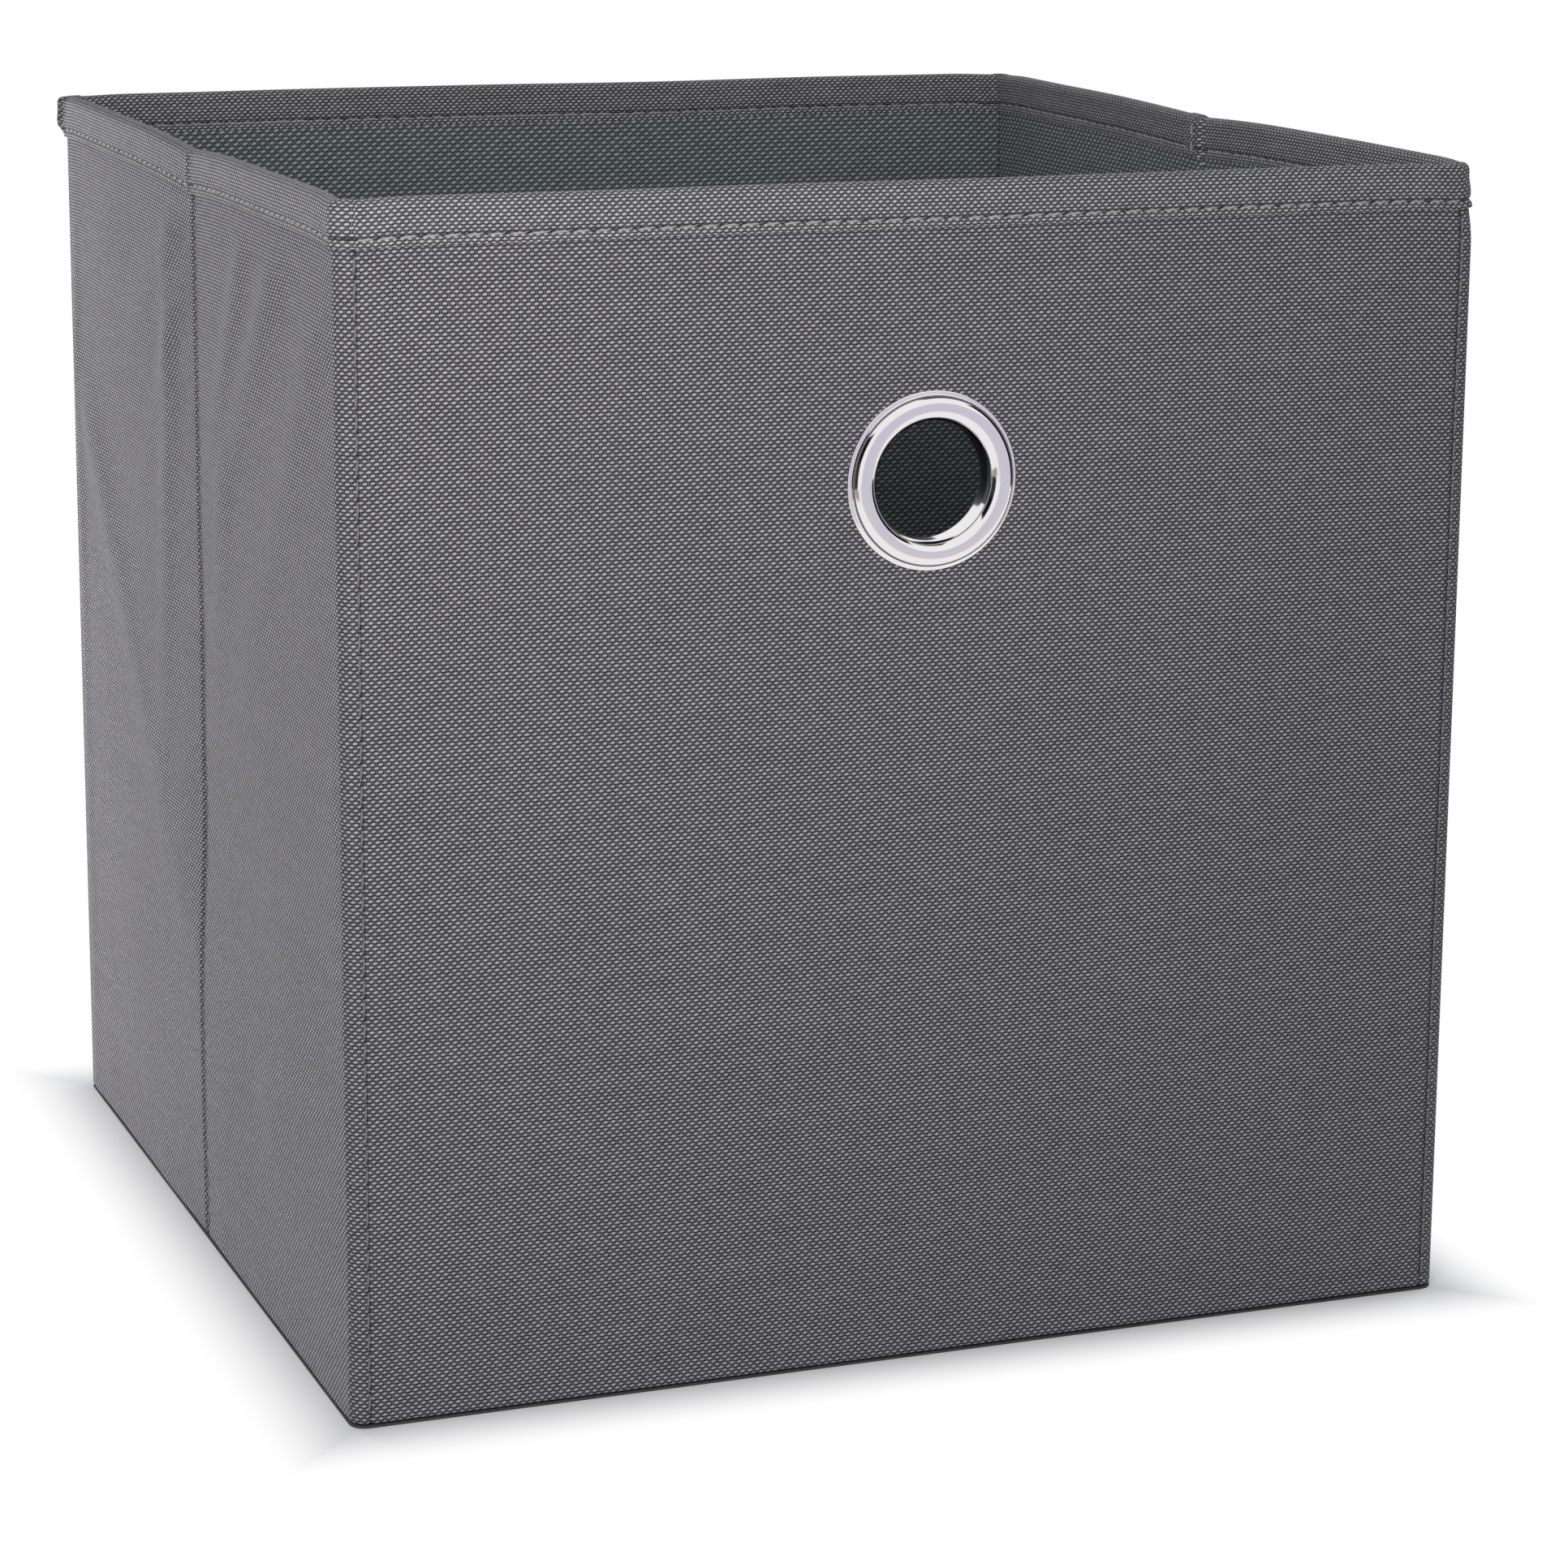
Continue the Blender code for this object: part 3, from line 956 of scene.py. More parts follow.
@dataclass
class WallCloth:
    """The outer cloth of all four walls, with its seamed corner strips."""

    thickness: float = 0.40 * MM
    seam_run: float = CORNER - 0.2 * MM         # where front and back meet the corner strips
    strip_flat: float = 2.0 * MM                # of a corner strip on the side wall
    top: float = RIM - 1.7 * MM
    turned_in: float = 2.6 * MM                 # under the board
    pieces: list[bpy.types.Object] = field(default_factory=list)

    def rows(self) -> list[Row]:
        """The cross-section, from under the board up to the rim."""
        edge = 1.2 * MM
        foot = [(self.turned_in, FOOT), (2.2 * MM, FOOT), (edge, FOOT)]
        turn = [
            (edge * (1 - math.sin(a)), FOOT + edge * (1 - math.cos(a)))
            for a in (QUARTER * n / 4 for n in range(1, 5))
        ]
        wall = [(0.0, z) for z in spaced(FOOT + edge, self.top, STITCH_PITCH / 4)[1:]]
        return foot + turn + wall

    def seam(self, edge: float) -> Callable[[Points, Points, Points], Points]:
        """Draws the cloth in along its sewn edge."""
        def drawn(run: Points, depth: Points, height: Points) -> Points:
            """The extra depth beside the seam."""
            gathered = 0.42 + 0.18 * needle(height)
            return gathered * MM * bell((np.abs(run) - edge) / (0.7 * MM))
        return drawn

    def seam_shade(self, edge: float) -> Callable[[Points, Points, Points], Points]:
        """Painted shade where the cloth lies deep in its sewn edge, darkest at the needle holes."""
        def deep(run: Points, depth: Points, height: Points) -> Points:
            """How dark the painted shade is at each point."""
            dark = 0.45 + 0.55 * needle(height) ** 2
            return dark * bell((np.abs(run) - edge) / (0.45 * MM))
        return deep

    def valley_shade(self, run: Points, depth: Points, height: Points) -> Points:
        """Painted shade where the cloth lies deep in the middle seam."""
        return (0.5 + 0.3 * needle(height)) * bell(run / (0.8 * MM))

    def panel(self, name: str, face: Face, body: str, hole: Optional[float]) -> bpy.types.Object:
        """The front or back cloth, between its two seams."""
        ends = merged(
            spaced(-self.seam_run, -self.seam_run + 2 * MM, 0.25 * MM),
            spaced(-self.seam_run + 2 * MM, self.seam_run - 2 * MM, 3.2 * MM),
            spaced(self.seam_run - 2 * MM, self.seam_run, 0.25 * MM),
        )
        piece = skin(
            name, face, ends, self.rows(), self.thickness, Layer.OUTER,
            hole=hole, extra=self.seam(self.seam_run), shade=self.seam_shade(self.seam_run),
        )
        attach(piece, body)
        return piece

    def side(self, face: Face) -> bpy.types.Object:
        """A side wall's cloth, in one piece over its middle fold."""
        left_end = -(CORNER - self.strip_flat)
        right_end = CORNER - self.strip_flat
        if face is Face.RIGHT:
            left_end = -CORNER
        runs = merged(
            spaced(left_end, -4 * MM, 3.2 * MM), spaced(-4 * MM, 4 * MM, 0.4 * MM),
            spaced(4 * MM, right_end, 3.2 * MM),
        )
        name = f"{SIDES[face][0]}_cloth"
        piece = skin(
            name, face, runs, self.rows(), self.thickness, Layer.OUTER, shade=self.valley_shade
        )
        over_middle(piece)
        return piece

    def strip(self, corner: Corner) -> bpy.types.Object:
        """The cloth round a corner, up to its seam on the front or back."""
        flat = 0.0 if corner.is_open else self.strip_flat
        end = CORNER + ARC + 0.2 * MM
        runs = merged(
            spaced(CORNER - flat, CORNER, 1 * MM) if flat else [CORNER],
            spaced(CORNER, CORNER + ARC, ARC / 16), [end - 0.1 * MM, end],
        )
        runs = [corner.run_sign * r for r in runs]
        piece = skin(
            f"{corner.name}_corner_cloth", corner.side, sorted(runs), self.rows(),
            self.thickness, Layer.OUTER, extra=self.seam(end), shade=self.seam_shade(end),
        )
        if corner.is_open:
            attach(piece, corner.wall)
        else:
            corner.bend(piece)
        return piece

    def inner_strip(self, corner: Corner) -> bpy.types.Object:
        """The layer under the open corner's strip, which closes the corner when it folds."""
        runs = merged([CORNER - 3 * MM], spaced(CORNER, CORNER + ARC, ARC / 12))
        rows = [(0.46 * MM, z) for z in spaced(FOOT + 1 * MM, self.top - 1 * MM, 20 * MM)]
        piece = skin(
            f"{corner.name}_under_cloth", corner.side, sorted(-r for r in runs), rows,
            0.22 * MM, Layer.PLAIN,
        )
        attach(piece, corner.half)
        return piece

    def build(self, wardrobe: Wardrobe) -> None:
        """Makes and dresses all the outer cloth."""
        front = self.panel("front_cloth", Face.FRONT, "front", HOLE)
        dress(front, wardrobe.cloth, ["front_outer_cloth"])
        back = self.panel("back_cloth", Face.BACK, "base", None)
        dress(back, wardrobe.cloth, ["back_outer_cloth"])
        for face, (side, _) in SIDES.items():
            piece = self.side(face)
            nodes = [f"{side}_rear_outer_cloth", f"{side}_front_outer_cloth"]
            dress(piece, wardrobe.cloth, nodes)
            self.pieces.append(piece)
        hems: dict[str, list[bpy.types.Object]] = {"front": [], "base": []}
        for corner in CORNERS:
            hems[corner.wall].append(dress(self.strip(corner), wardrobe.cloth))
            if corner.is_open:
                under = dress(self.inner_strip(corner), wardrobe.cloth)
                hems[corner.wall].append(under)
        for piece, wall in ((front, "front"), (back, "base")):
            "front_inner_board" if wall == "front" else "back_inner_board"
            self.pieces += hems[wall]
        self.pieces += [front, back]


@dataclass
class Boards:
    """The stiff boards inside the walls."""

    thickness: float = 2.0 * MM
    depth: float = 0.9 * MM
    half_width: float = CORNER + 1.2 * MM       # of the front and back boards
    start: float = 2.0 * MM                     # of a side board, from the middle
    end: float = CORNER - 1.7 * MM
    pieces: list[bpy.types.Object] = field(default_factory=list)

    def board(
        self, name: str, face: Face, span: tuple[float, float], body: str, node: str,
        material: bpy.types.Material, hole: Optional[float] = None,
    ) -> None:
        """One board."""
        rows = [(self.depth, z) for z in spaced(2.4 * MM, RIM - 1.6 * MM, 8 * MM)]
        piece = skin(
            name, face, spaced(*span, 8 * MM), rows, self.thickness, Layer.PLAIN, True, hole
        )
        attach(piece, body)
        self.pieces.append(dress(piece, material, [node]))

    def build(self, wardrobe: Wardrobe) -> None:
        """Makes the six boards."""
        wide = (-self.half_width, self.half_width)
        board = wardrobe.board
        self.board("front_inner_board", Face.FRONT, wide, "front", "front_board", board, HOLE)
        self.board("back_inner_board", Face.BACK, wide, "base", "back_board", board)
        for face, (side, _) in SIDES.items():
            for span in ((-self.end, -self.start), (self.start, self.end)):
                body = half_body(side, sum(span), face)
                self.board(f"{body}_inner_board", face, span, body, f"{body}_board", board)


@dataclass
class Linings:
    """The lining inside the four walls."""

    thickness: float = 0.34 * MM
    top: float = RIM - 1.8 * MM
    foot: float = 1.5 * MM
    pieces: list[bpy.types.Object] = field(default_factory=list)

    def rows(self) -> list[Row]:
        """The cross-section, from the rim down."""
        return [(WALL, z) for z in spaced(self.top, self.foot, 4 * MM)]

    def drawn_in(self, run: Points, depth: Points, height: Points) -> Points:
        """How far the middle seam draws the lining in between the boards."""
        return -2.0 * MM * bell(run / (1.3 * MM))

    def build(self, wardrobe: Wardrobe) -> None:
        """Makes and dresses the linings."""
        for name, face, body, hole in (
            ("front", Face.FRONT, "front", HOLE), ("back", Face.BACK, "base", None)
        ):
            half = HALF - WALL - 0.3 * MM
            runs = spaced(-half, half, 4 * MM)
            piece = skin(
                f"{name}_inner_lining", face, runs, self.rows(), self.thickness, Layer.INNER,
                True, hole,
            )
            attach(piece, body)
            dress(piece, wardrobe.lining, [f"{name}_lining"])
            self.pieces.append(piece)
        for face, (side, _) in SIDES.items():
            half = HALF - WALL - 0.5 * MM
            runs = merged(
                spaced(-half, -5 * MM, 4 * MM), spaced(-5 * MM, 5 * MM, 0.5 * MM),
                spaced(5 * MM, half, 4 * MM),
            )
            piece = skin(
                f"{side}_inner_lining", face, runs, self.rows(), self.thickness, Layer.INNER,
                True, extra=self.drawn_in,
            )
            over_middle(piece)
            nodes = [f"{side}_rear_lining", f"{side}_front_lining"]
            dress(piece, wardrobe.lining, nodes)
            self.pieces.append(piece)


@dataclass
class Binding:
    """The strip folded over the rim all round, with its folded ends."""

    thickness: float = 0.42 * MM
    stand: float = 0.9 * MM                     # outside the walls
    stitch_height: float = BINDING_FOOT + 2.2 * MM
    roll: float = 2.1 * MM                      # radius at the rim
    pieces: list[bpy.types.Object] = field(default_factory=list)

    def leg(self, height: float) -> float:
        """How far a leg stands off its wall at a height."""
        above = height - self.stitch_height
        groove = 0.52 * MM * math.exp(-((above / (0.55 * MM)) ** 2))
        puff = 0.22 * MM * math.exp(-(((above - 2.6 * MM) / (1.7 * MM)) ** 2))
        hem = 0.16 * MM * math.exp(-(((above + 1.5 * MM) / (0.7 * MM)) ** 2))
        return self.stand - groove + puff + hem

    def rows(self, proud: float = 0.0) -> list[Row]:
        """The cross-section: up the outer leg, over the rim and down the inner one."""
        shoulder = RIM - self.roll
        heights = merged(
            spaced(BINDING_FOOT, self.stitch_height + 1.2 * MM, 0.24 * MM),
            spaced(self.stitch_height + 1.2 * MM, shoulder, 0.8 * MM),
        )
        outer = [(-self.leg(z) - proud, z) for z in heights]
        inner = [(WALL + self.leg(z) - UNDER_STITCH + proud, z) for z in reversed(heights)]
        over = []
        near, far = outer[-1][0], inner[0][0]
        flat = (far - near) / 2 - self.roll
        for n in range(1, 8):
            angle = QUARTER * n / 8
            over.append((
                near + self.roll * (1 - math.cos(angle)) + flat * smooth(np.array(n / 8.0)) * 0.6,
                shoulder + (self.roll + proud) * math.sin(angle),
            ))
        top = [((near + far) / 2, RIM + proud)]
        back = [(near + far - depth, z) for depth, z in reversed(over)]
        return outer + over + top + back + inner

    def under_rows(self) -> list[Row]:
        """The cross-section of the layer under the open corner's binding."""
        low, high = BINDING_FOOT + 1 * MM, RIM - 2.4 * MM
        rows = [(-0.36 * MM, z) for z in spaced(low, high, 2 * MM)]
        crown = RIM - 0.9 * MM
        return rows + [(0.2 * MM, crown - 0.3 * MM), (1.2 * MM, crown), (3.6 * MM, crown)]

    def puckered(self, face: Face) -> Callable[[Points, Points, Points], Points]:
        """The extra depth of the binding along a wall."""
        def extra(run: Points, depth: Points, height: Points) -> Points:
            """Gathers at the needle holes, unevenness, and what is special to each wall."""
            outwards = np.clip((depth - WALL / 2) / (WALL / 2), -1, 1)
            outer, inner = np.clip(-outwards, 0, 1), np.clip(outwards, 0, 1)
            near = bell((height - self.stitch_height) / (1.4 * MM))
            holes = 2 * math.pi * (run - CORNER) / STITCH_PITCH
            made = -0.14 * np.cos(holes) * near + 0.16 * waves(run, height * 1.6, 3.1, 19 * MM)
            flat = 1 - smooth((np.abs(run) - CORNER + 2 * MM) / (2 * MM))
            made = made * flat
            if face in SIDES:
                made = made - 1.7 * inner * bell(run / (1.4 * MM)) - 0.3 * bell(run / (1.0 * MM))
                made = made + 0.3 * bell((np.abs(run) - 2.6 * MM) / (1.2 * MM))
            if face is Face.BACK:
                slanted = run + CORNER - 3 * MM - (height - BINDING_FOOT) * 0.45
                made = made + 0.8 * bell(slanted / (1.2 * MM)) * inner
            if face in NUBS:
                nub = bell((run - NUBS[face]) / (1.7 * MM)) * outer
                made = made + 2.4 * nub * smooth((height - BINDING_FOOT - 0.5 * MM) / (2 * MM))
            return outwards * MM * made
        return extra

    def stitch_shade(self, run: Points, depth: Points, height: Points) -> Points:
        """Painted shade where the cloth lies deep in the row of stitches, and on the outer face of the
        binding's folded end at the back left corner.
        """
        above = height - self.stitch_height
        line = bell((above - 0.35 * MM) / (0.50 * MM))
        row = (0.55 + 0.45 * needle(run - CORNER) ** 3) * line
        # cut: painted shade, the outer face of the binding's folded end at the back left corner drawn
        # darker
        cut = bell((run - NUBS[Face.LEFT]) / (1.5 * MM)) * (depth < 0) * (np.abs(run) > CORNER)
        return np.maximum(row, 0.85 * cut)

    def straight(self, name: str, face: Face, runs: Sequence[float]) -> bpy.types.Object:
        """A length of binding along a wall."""
        return skin(
            name, face, runs, self.rows(), self.thickness, Layer.PLAIN,
            extra=self.puckered(face), shade=self.stitch_shade,
        )

    def tab(
        self, name: str, face: Face, span: tuple[float, float], body: str, proud: float,
        material: bpy.types.Material,
    ) -> bpy.types.Object:
        """The end of the strip, lapped over the start of it."""
        def crumpled(run: Points, depth: Points, height: Points) -> Points:
            """Uneven folds in the lap."""
            outwards = np.where(depth < WALL / 2, -1.0, 1.0)
            middle = (span[0] + span[1]) / 2
            edge = smooth((np.abs(run - middle) / (span[1] - span[0]) - 0.30) / 0.2)
            return outwards * MM * (0.12 * waves(run, height, 6.0, 6 * MM) - 0.25 * edge)
        piece = skin(
            name, face, spaced(*span, 0.6 * MM), self.rows(proud), self.thickness,
            Layer.PLAIN, extra=crumpled,
        )
        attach(piece, body)
        self.pieces.append(dress(piece, material))
        return piece

    def build(self, wardrobe: Wardrobe) -> None:
        """Makes and dresses the binding."""
        cloth = wardrobe.binding
        step = STITCH_PITCH / 4
        turns: dict[str, list[bpy.types.Object]] = {"front": [], "base": []}
        for corner in CORNERS:
            runs = spaced(CORNER, CORNER + ARC, ARC / 16)
            signed = sorted(corner.run_sign * r for r in runs)
            if corner.is_open:
                piece = skin(
                    f"{corner.name}_under_rim", corner.side, signed, self.under_rows(), 0.18 * MM
                )
                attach(piece, corner.half)
            else:
                piece = self.straight(f"{corner.name}_corner_rim", corner.side, signed)
                corner.bend(piece, self.stand)
            turns[corner.wall].append(dress(piece, cloth))
            self.pieces.append(piece)
        for name, face, body, over in (
            ("front", Face.FRONT, "front", ARC), ("back", Face.BACK, "base", 0.0)
        ):
            runs = spaced(-CORNER, CORNER, step)
            if over:
                runs = merged(runs, spaced(CORNER, CORNER + over, ARC / 16))
            piece = self.straight(f"{name}_rim", face, runs)
            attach(piece, body)
            dress(piece, cloth, [f"{name}_binding"])
            self.pieces.append(piece)
        lap = self.tab(
            "right_rim_lap", Face.RIGHT, (4.2 * MM, 11.0 * MM), "right_rear", 0.42 * MM, cloth
        )
        for face, (side, _) in SIDES.items():
            runs = merged(
                spaced(-CORNER, -4 * MM, step), spaced(-4 * MM, 4 * MM, 0.4 * MM),
                spaced(4 * MM, CORNER, step),
            )
            piece = self.straight(f"{side}_rim", face, runs)
            over_middle(piece)
            dress(piece, cloth, [f"{side}_rear_binding", f"{side}_front_binding"])
            self.pieces.append(piece)


@dataclass
class Stitching:
    """All the sewing thread, one piece for each body that it rides on."""

    binding: Binding
    rows: dict[str, list[bpy.types.Object]] = field(default_factory=dict)
    pieces: list[bpy.types.Object] = field(default_factory=list)

    def add(self, key: str, row: bpy.types.Object) -> None:
        """Keeps a row for its piece."""
        self.rows.setdefault(key, []).append(row)

    def rim(self) -> None:
        """The rows through the binding, outside and inside."""
        at = self.binding.stitch_height
        stand = self.binding.leg(at)
        spans = [("front", Face.FRONT, -CORNER, CORNER), ("base", Face.BACK, -CORNER, CORNER)]
        for face, (side, _) in SIDES.items():
            reach = CORNER - round((CORNER - 3 * MM) / STITCH_PITCH) * STITCH_PITCH
            for start, end in ((-CORNER, -reach), (reach, CORNER)):
                spans.append((half_body(side, start + end, face), face, start, end))
        for body, face, start, end in spans:
            name = f"{body}_rim_row"
            self.add(body, stitch_row(f"{name}_outside", face, start, end, at, -stand))
            self.add(body, stitch_row(
                f"{name}_inside", face, start, end, at, WALL + stand - UNDER_STITCH, inside=True
            ))

    def lap(self) -> None:
        """The short row across the binding's lapped end."""
        stand = self.binding.stand
        for name, depth, inside in (
            ("lap_inside", WALL + stand + 0.3 * MM, True), ("lap_outside", -stand - 0.5 * MM, False)
        ):
            self.add("right_rear", stitch_row(
                name, Face.RIGHT, BINDING_FOOT + 1 * MM, RIM - 2 * MM, 5.4 * MM, depth,
                upright=True, inside=inside,
            ))

    def seams(self) -> None:
        """The upright rows at the corners and the middle seams."""
        low, high = 4 * MM, BINDING_FOOT - 1.5 * MM
        for body, face in (("front", Face.FRONT), ("base", Face.BACK)):
            for sign in (-1, 1):
                self.add(f"{body}_corner", stitch_row(
                    f"{body}_seam_{sign}", face, low, high, sign * (CORNER + 0.1 * MM), 0.22 * MM,
                    upright=True,
                ))
        for face, (side, _) in SIDES.items():
            to_front = 1 if face is Face.LEFT else -1
            run = to_front * 2.7 * MM
            body = half_body(side, run, face)
            self.add(f"{body}_seam", stitch_row(
                f"{side}_seam", face, low, high, run, -0.02 * MM, upright=True
            ))

    def build(self, wardrobe: Wardrobe) -> None:
        """Makes the rows, and joins those of each body."""
        self.rim()
        self.lap()
        self.seams()
        for key, rows in self.rows.items():
            body = key.replace("_corner", "").replace("_seam", "")
            piece = join(f"{key}_stitches", rows)
            upright = key.endswith("_corner") or key.endswith("_seam")
            dress(piece, wardrobe.seam_thread if upright else wardrobe.thread)
            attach(piece, body)
            self.pieces.append(piece)


@dataclass
class Eyelet:
    """The chromed ring in the front wall, and its washer."""

    outer: float = EYELET_RADIUS
    lip: float = 1.05 * MM
    crest: float = 19.1 * MM
    throat: float = 15.8 * MM
    dome: float = 3.2 * MM
    sheet: float = 0.5 * MM
    back: float = 4.8 * MM
    flare: float = 19.0 * MM
    around: int = 160
    pieces: list[bpy.types.Object] = field(default_factory=list)

    def profile(self) -> list[tuple[float, float]]:
        """The closed section as (radius, distance out of the wall), anticlockwise."""
        foot = 0.06 * MM
        low = 0.62 * MM                         # the lip's face
        bend = -0.4 * MM                        # where the throat goes straight
        steps = 18
        edge = self.outer - self.lip
        rolled = -self.back - self.sheet        # the rolled end's face, inside the wall
        shown = [(self.outer, foot), (self.outer, 0.40 * MM), (self.outer - 0.08 * MM, 0.54 * MM)]
        shown += [(self.outer - 0.25 * MM, low), (edge + 0.12 * MM, low)]
        shown += [(edge - 0.02 * MM, low + 0.06 * MM)]
        for n in range(1, steps + 1):
            a = QUARTER * min(n / steps, 0.9999)
            shown.append((
                self.crest + (edge - self.crest) * math.cos(a) ** 0.72,
                low + (self.dome - low) * math.sin(a) ** 0.9,
            ))
        for n in range(1, steps + 1):
            a = QUARTER * n / steps
            shown.append((
                self.crest - (self.crest - self.throat) * math.sin(a),
                bend + (self.dome - bend) * math.cos(a),
            ))
        shown += [(self.throat, z) for z in spaced(bend, -self.back - 0.1 * MM, 0.8 * MM)[1:]]
        shown += [(self.throat + 0.15 * MM, -self.back - 0.42 * MM), (self.throat + 0.5 * MM, rolled)]
        shown += [(self.flare - 0.15 * MM, rolled), (self.flare, -self.back - 0.25 * MM)]
        hidden = [(self.flare - 0.15 * MM, -self.back), (self.throat + self.sheet, -self.back)]
        hidden += [(self.throat + self.sheet, bend)]
        for n in range(1, 7):
            a = QUARTER * n / 6
            hidden.append((
                self.crest - (self.crest - self.throat - self.sheet) * math.cos(a),
                bend + (self.dome - self.sheet - bend) * math.sin(a),
            ))
        for n in range(1, 6):
            a = QUARTER * n / 6
            hidden.append((
                self.crest + (edge - self.crest - self.sheet) * math.sin(a),
                0.3 * MM + (self.dome - self.sheet - 0.3 * MM) * math.cos(a),
            ))
        hidden += [(edge - 0.2 * MM, foot)]
        return shown + hidden

    def build(self, wardrobe: Wardrobe) -> None:
        """Shapes the ring from a torus, and dresses the washer."""
        section = np.array(self.profile())
        ring = fresh(
            "chrome_eyelet", bpy.ops.mesh.primitive_torus_add, major_segments=self.around,
            minor_segments=len(section), major_radius=2, minor_radius=1,
        )
        points = read_points(ring)
        around = np.arctan2(points[:, 1], points[:, 0])
        share = np.arctan2(points[:, 2], np.hypot(points[:, 0], points[:, 1]) - 2) / (4 * QUARTER)
        at = np.rint(share * len(section)).astype(int) % len(section)
        radius, out = section[at, 0], section[at, 1]
        write_points(ring, np.stack([
            radius * np.cos(around), -HALF - out, EYELET_HEIGHT + radius * np.sin(around),
        ], axis=1))
        turn_faces_out(ring)
        smooth_faces(ring, 50)
        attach(ring, "front")
        dress(ring, wardrobe.chrome, ["eyelet_ring"])
        washer = frame["nodes"]["eyelet_washer"]
        washer.data.materials.clear()
        washer.data.materials.append(wardrobe.chrome)
        self.pieces.append(ring)


@dataclass
class Floor:
    """The base cloth and the loose insert on it."""

    base_thickness: float = 0.60 * MM
    insert_half: float = HALF - WALL - 3.0 * MM
    insert_low: float = 0.95 * MM
    insert_high: float = 3.55 * MM
    pieces: list[bpy.types.Object] = field(default_factory=list)

    def slab(
        self, name: str, half: float, low: float, high: float, corner: float, edge: float
    ) -> bpy.types.Object:
        """A flat slab with rounded corners and edges."""
        obj = fresh(name, bpy.ops.mesh.primitive_cube_add, size=1.0)
        points = read_points(obj)
        points[:, :2] *= 2 * half
        points[:, 2] = np.where(points[:, 2] > 0, high, low)
        write_points(obj, points)
        pick_only(obj)
        for item in (*obj.data.vertices, *obj.data.edges, *obj.data.polygons):
            item.select = False
        bpy.ops.object.mode_set(mode="EDIT")
        bpy.ops.mesh.select_mode(type="EDGE")
        bpy.ops.object.mode_set(mode="OBJECT")
        for side in obj.data.edges:
            a, b = (obj.data.vertices[v].co for v in side.vertices)
            side.select = abs(a.z - b.z) > 0.5 * (high - low)
        bpy.ops.object.mode_set(mode="EDIT")
        bpy.ops.mesh.bevel(offset=corner, segments=8)
        bpy.ops.object.mode_set(mode="OBJECT")
        apply_modifier(
            obj, "edge", "BEVEL", width=edge, segments=3, limit_method="ANGLE",
            angle_limit=math.radians(60),
        )
        smooth_faces(obj)
        return obj

    def build(self, wardrobe: Wardrobe) -> None:
        """Makes both pieces."""
        base = self.slab("bottom_cloth", HALF, 0.0, self.base_thickness, ROUND, 0.25 * MM)
        dress(base, wardrobe.base, ["base_cloth"])
        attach(base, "base")
        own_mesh(base)
        insert = self.slab(
            "bottom_insert", self.insert_half, self.insert_low, self.insert_high, 3 * MM, 0.7 * MM
        )
        dress(insert, wardrobe.insert, ["insert_board", "insert_cover"])
        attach(insert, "insert")
        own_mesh(insert)
        self.pieces += [base, insert]


# ---- the studio ----------------------------------------------------------------------------


@dataclass(frozen=True)
class Lamp:
    """A soft lamp."""

    name: str
    place: tuple[float, float, float]
    aim: tuple[float, float, float]
    size: float
    power: float
    colour: tuple[float, float, float] = (1.0, 1.0, 1.0)

    def hang(self) -> None:
        """Adds the lamp."""
        data = bpy.data.lights.new(self.name, "AREA")
        data.shape = "DISK"
        data.size = self.size
        data.energy = self.power
        data.color = self.colour
        lamp = bpy.data.objects.new(self.name, data)
        bpy.context.scene.collection.objects.link(lamp)
        lamp.location = self.place
        lamp.rotation_mode = "QUATERNION"
        lamp.rotation_quaternion = (Vector(self.aim) - Vector(self.place)).to_track_quat("-Z", "Y")
        lamp.visible_camera = False
        lamp.visible_glossy = False


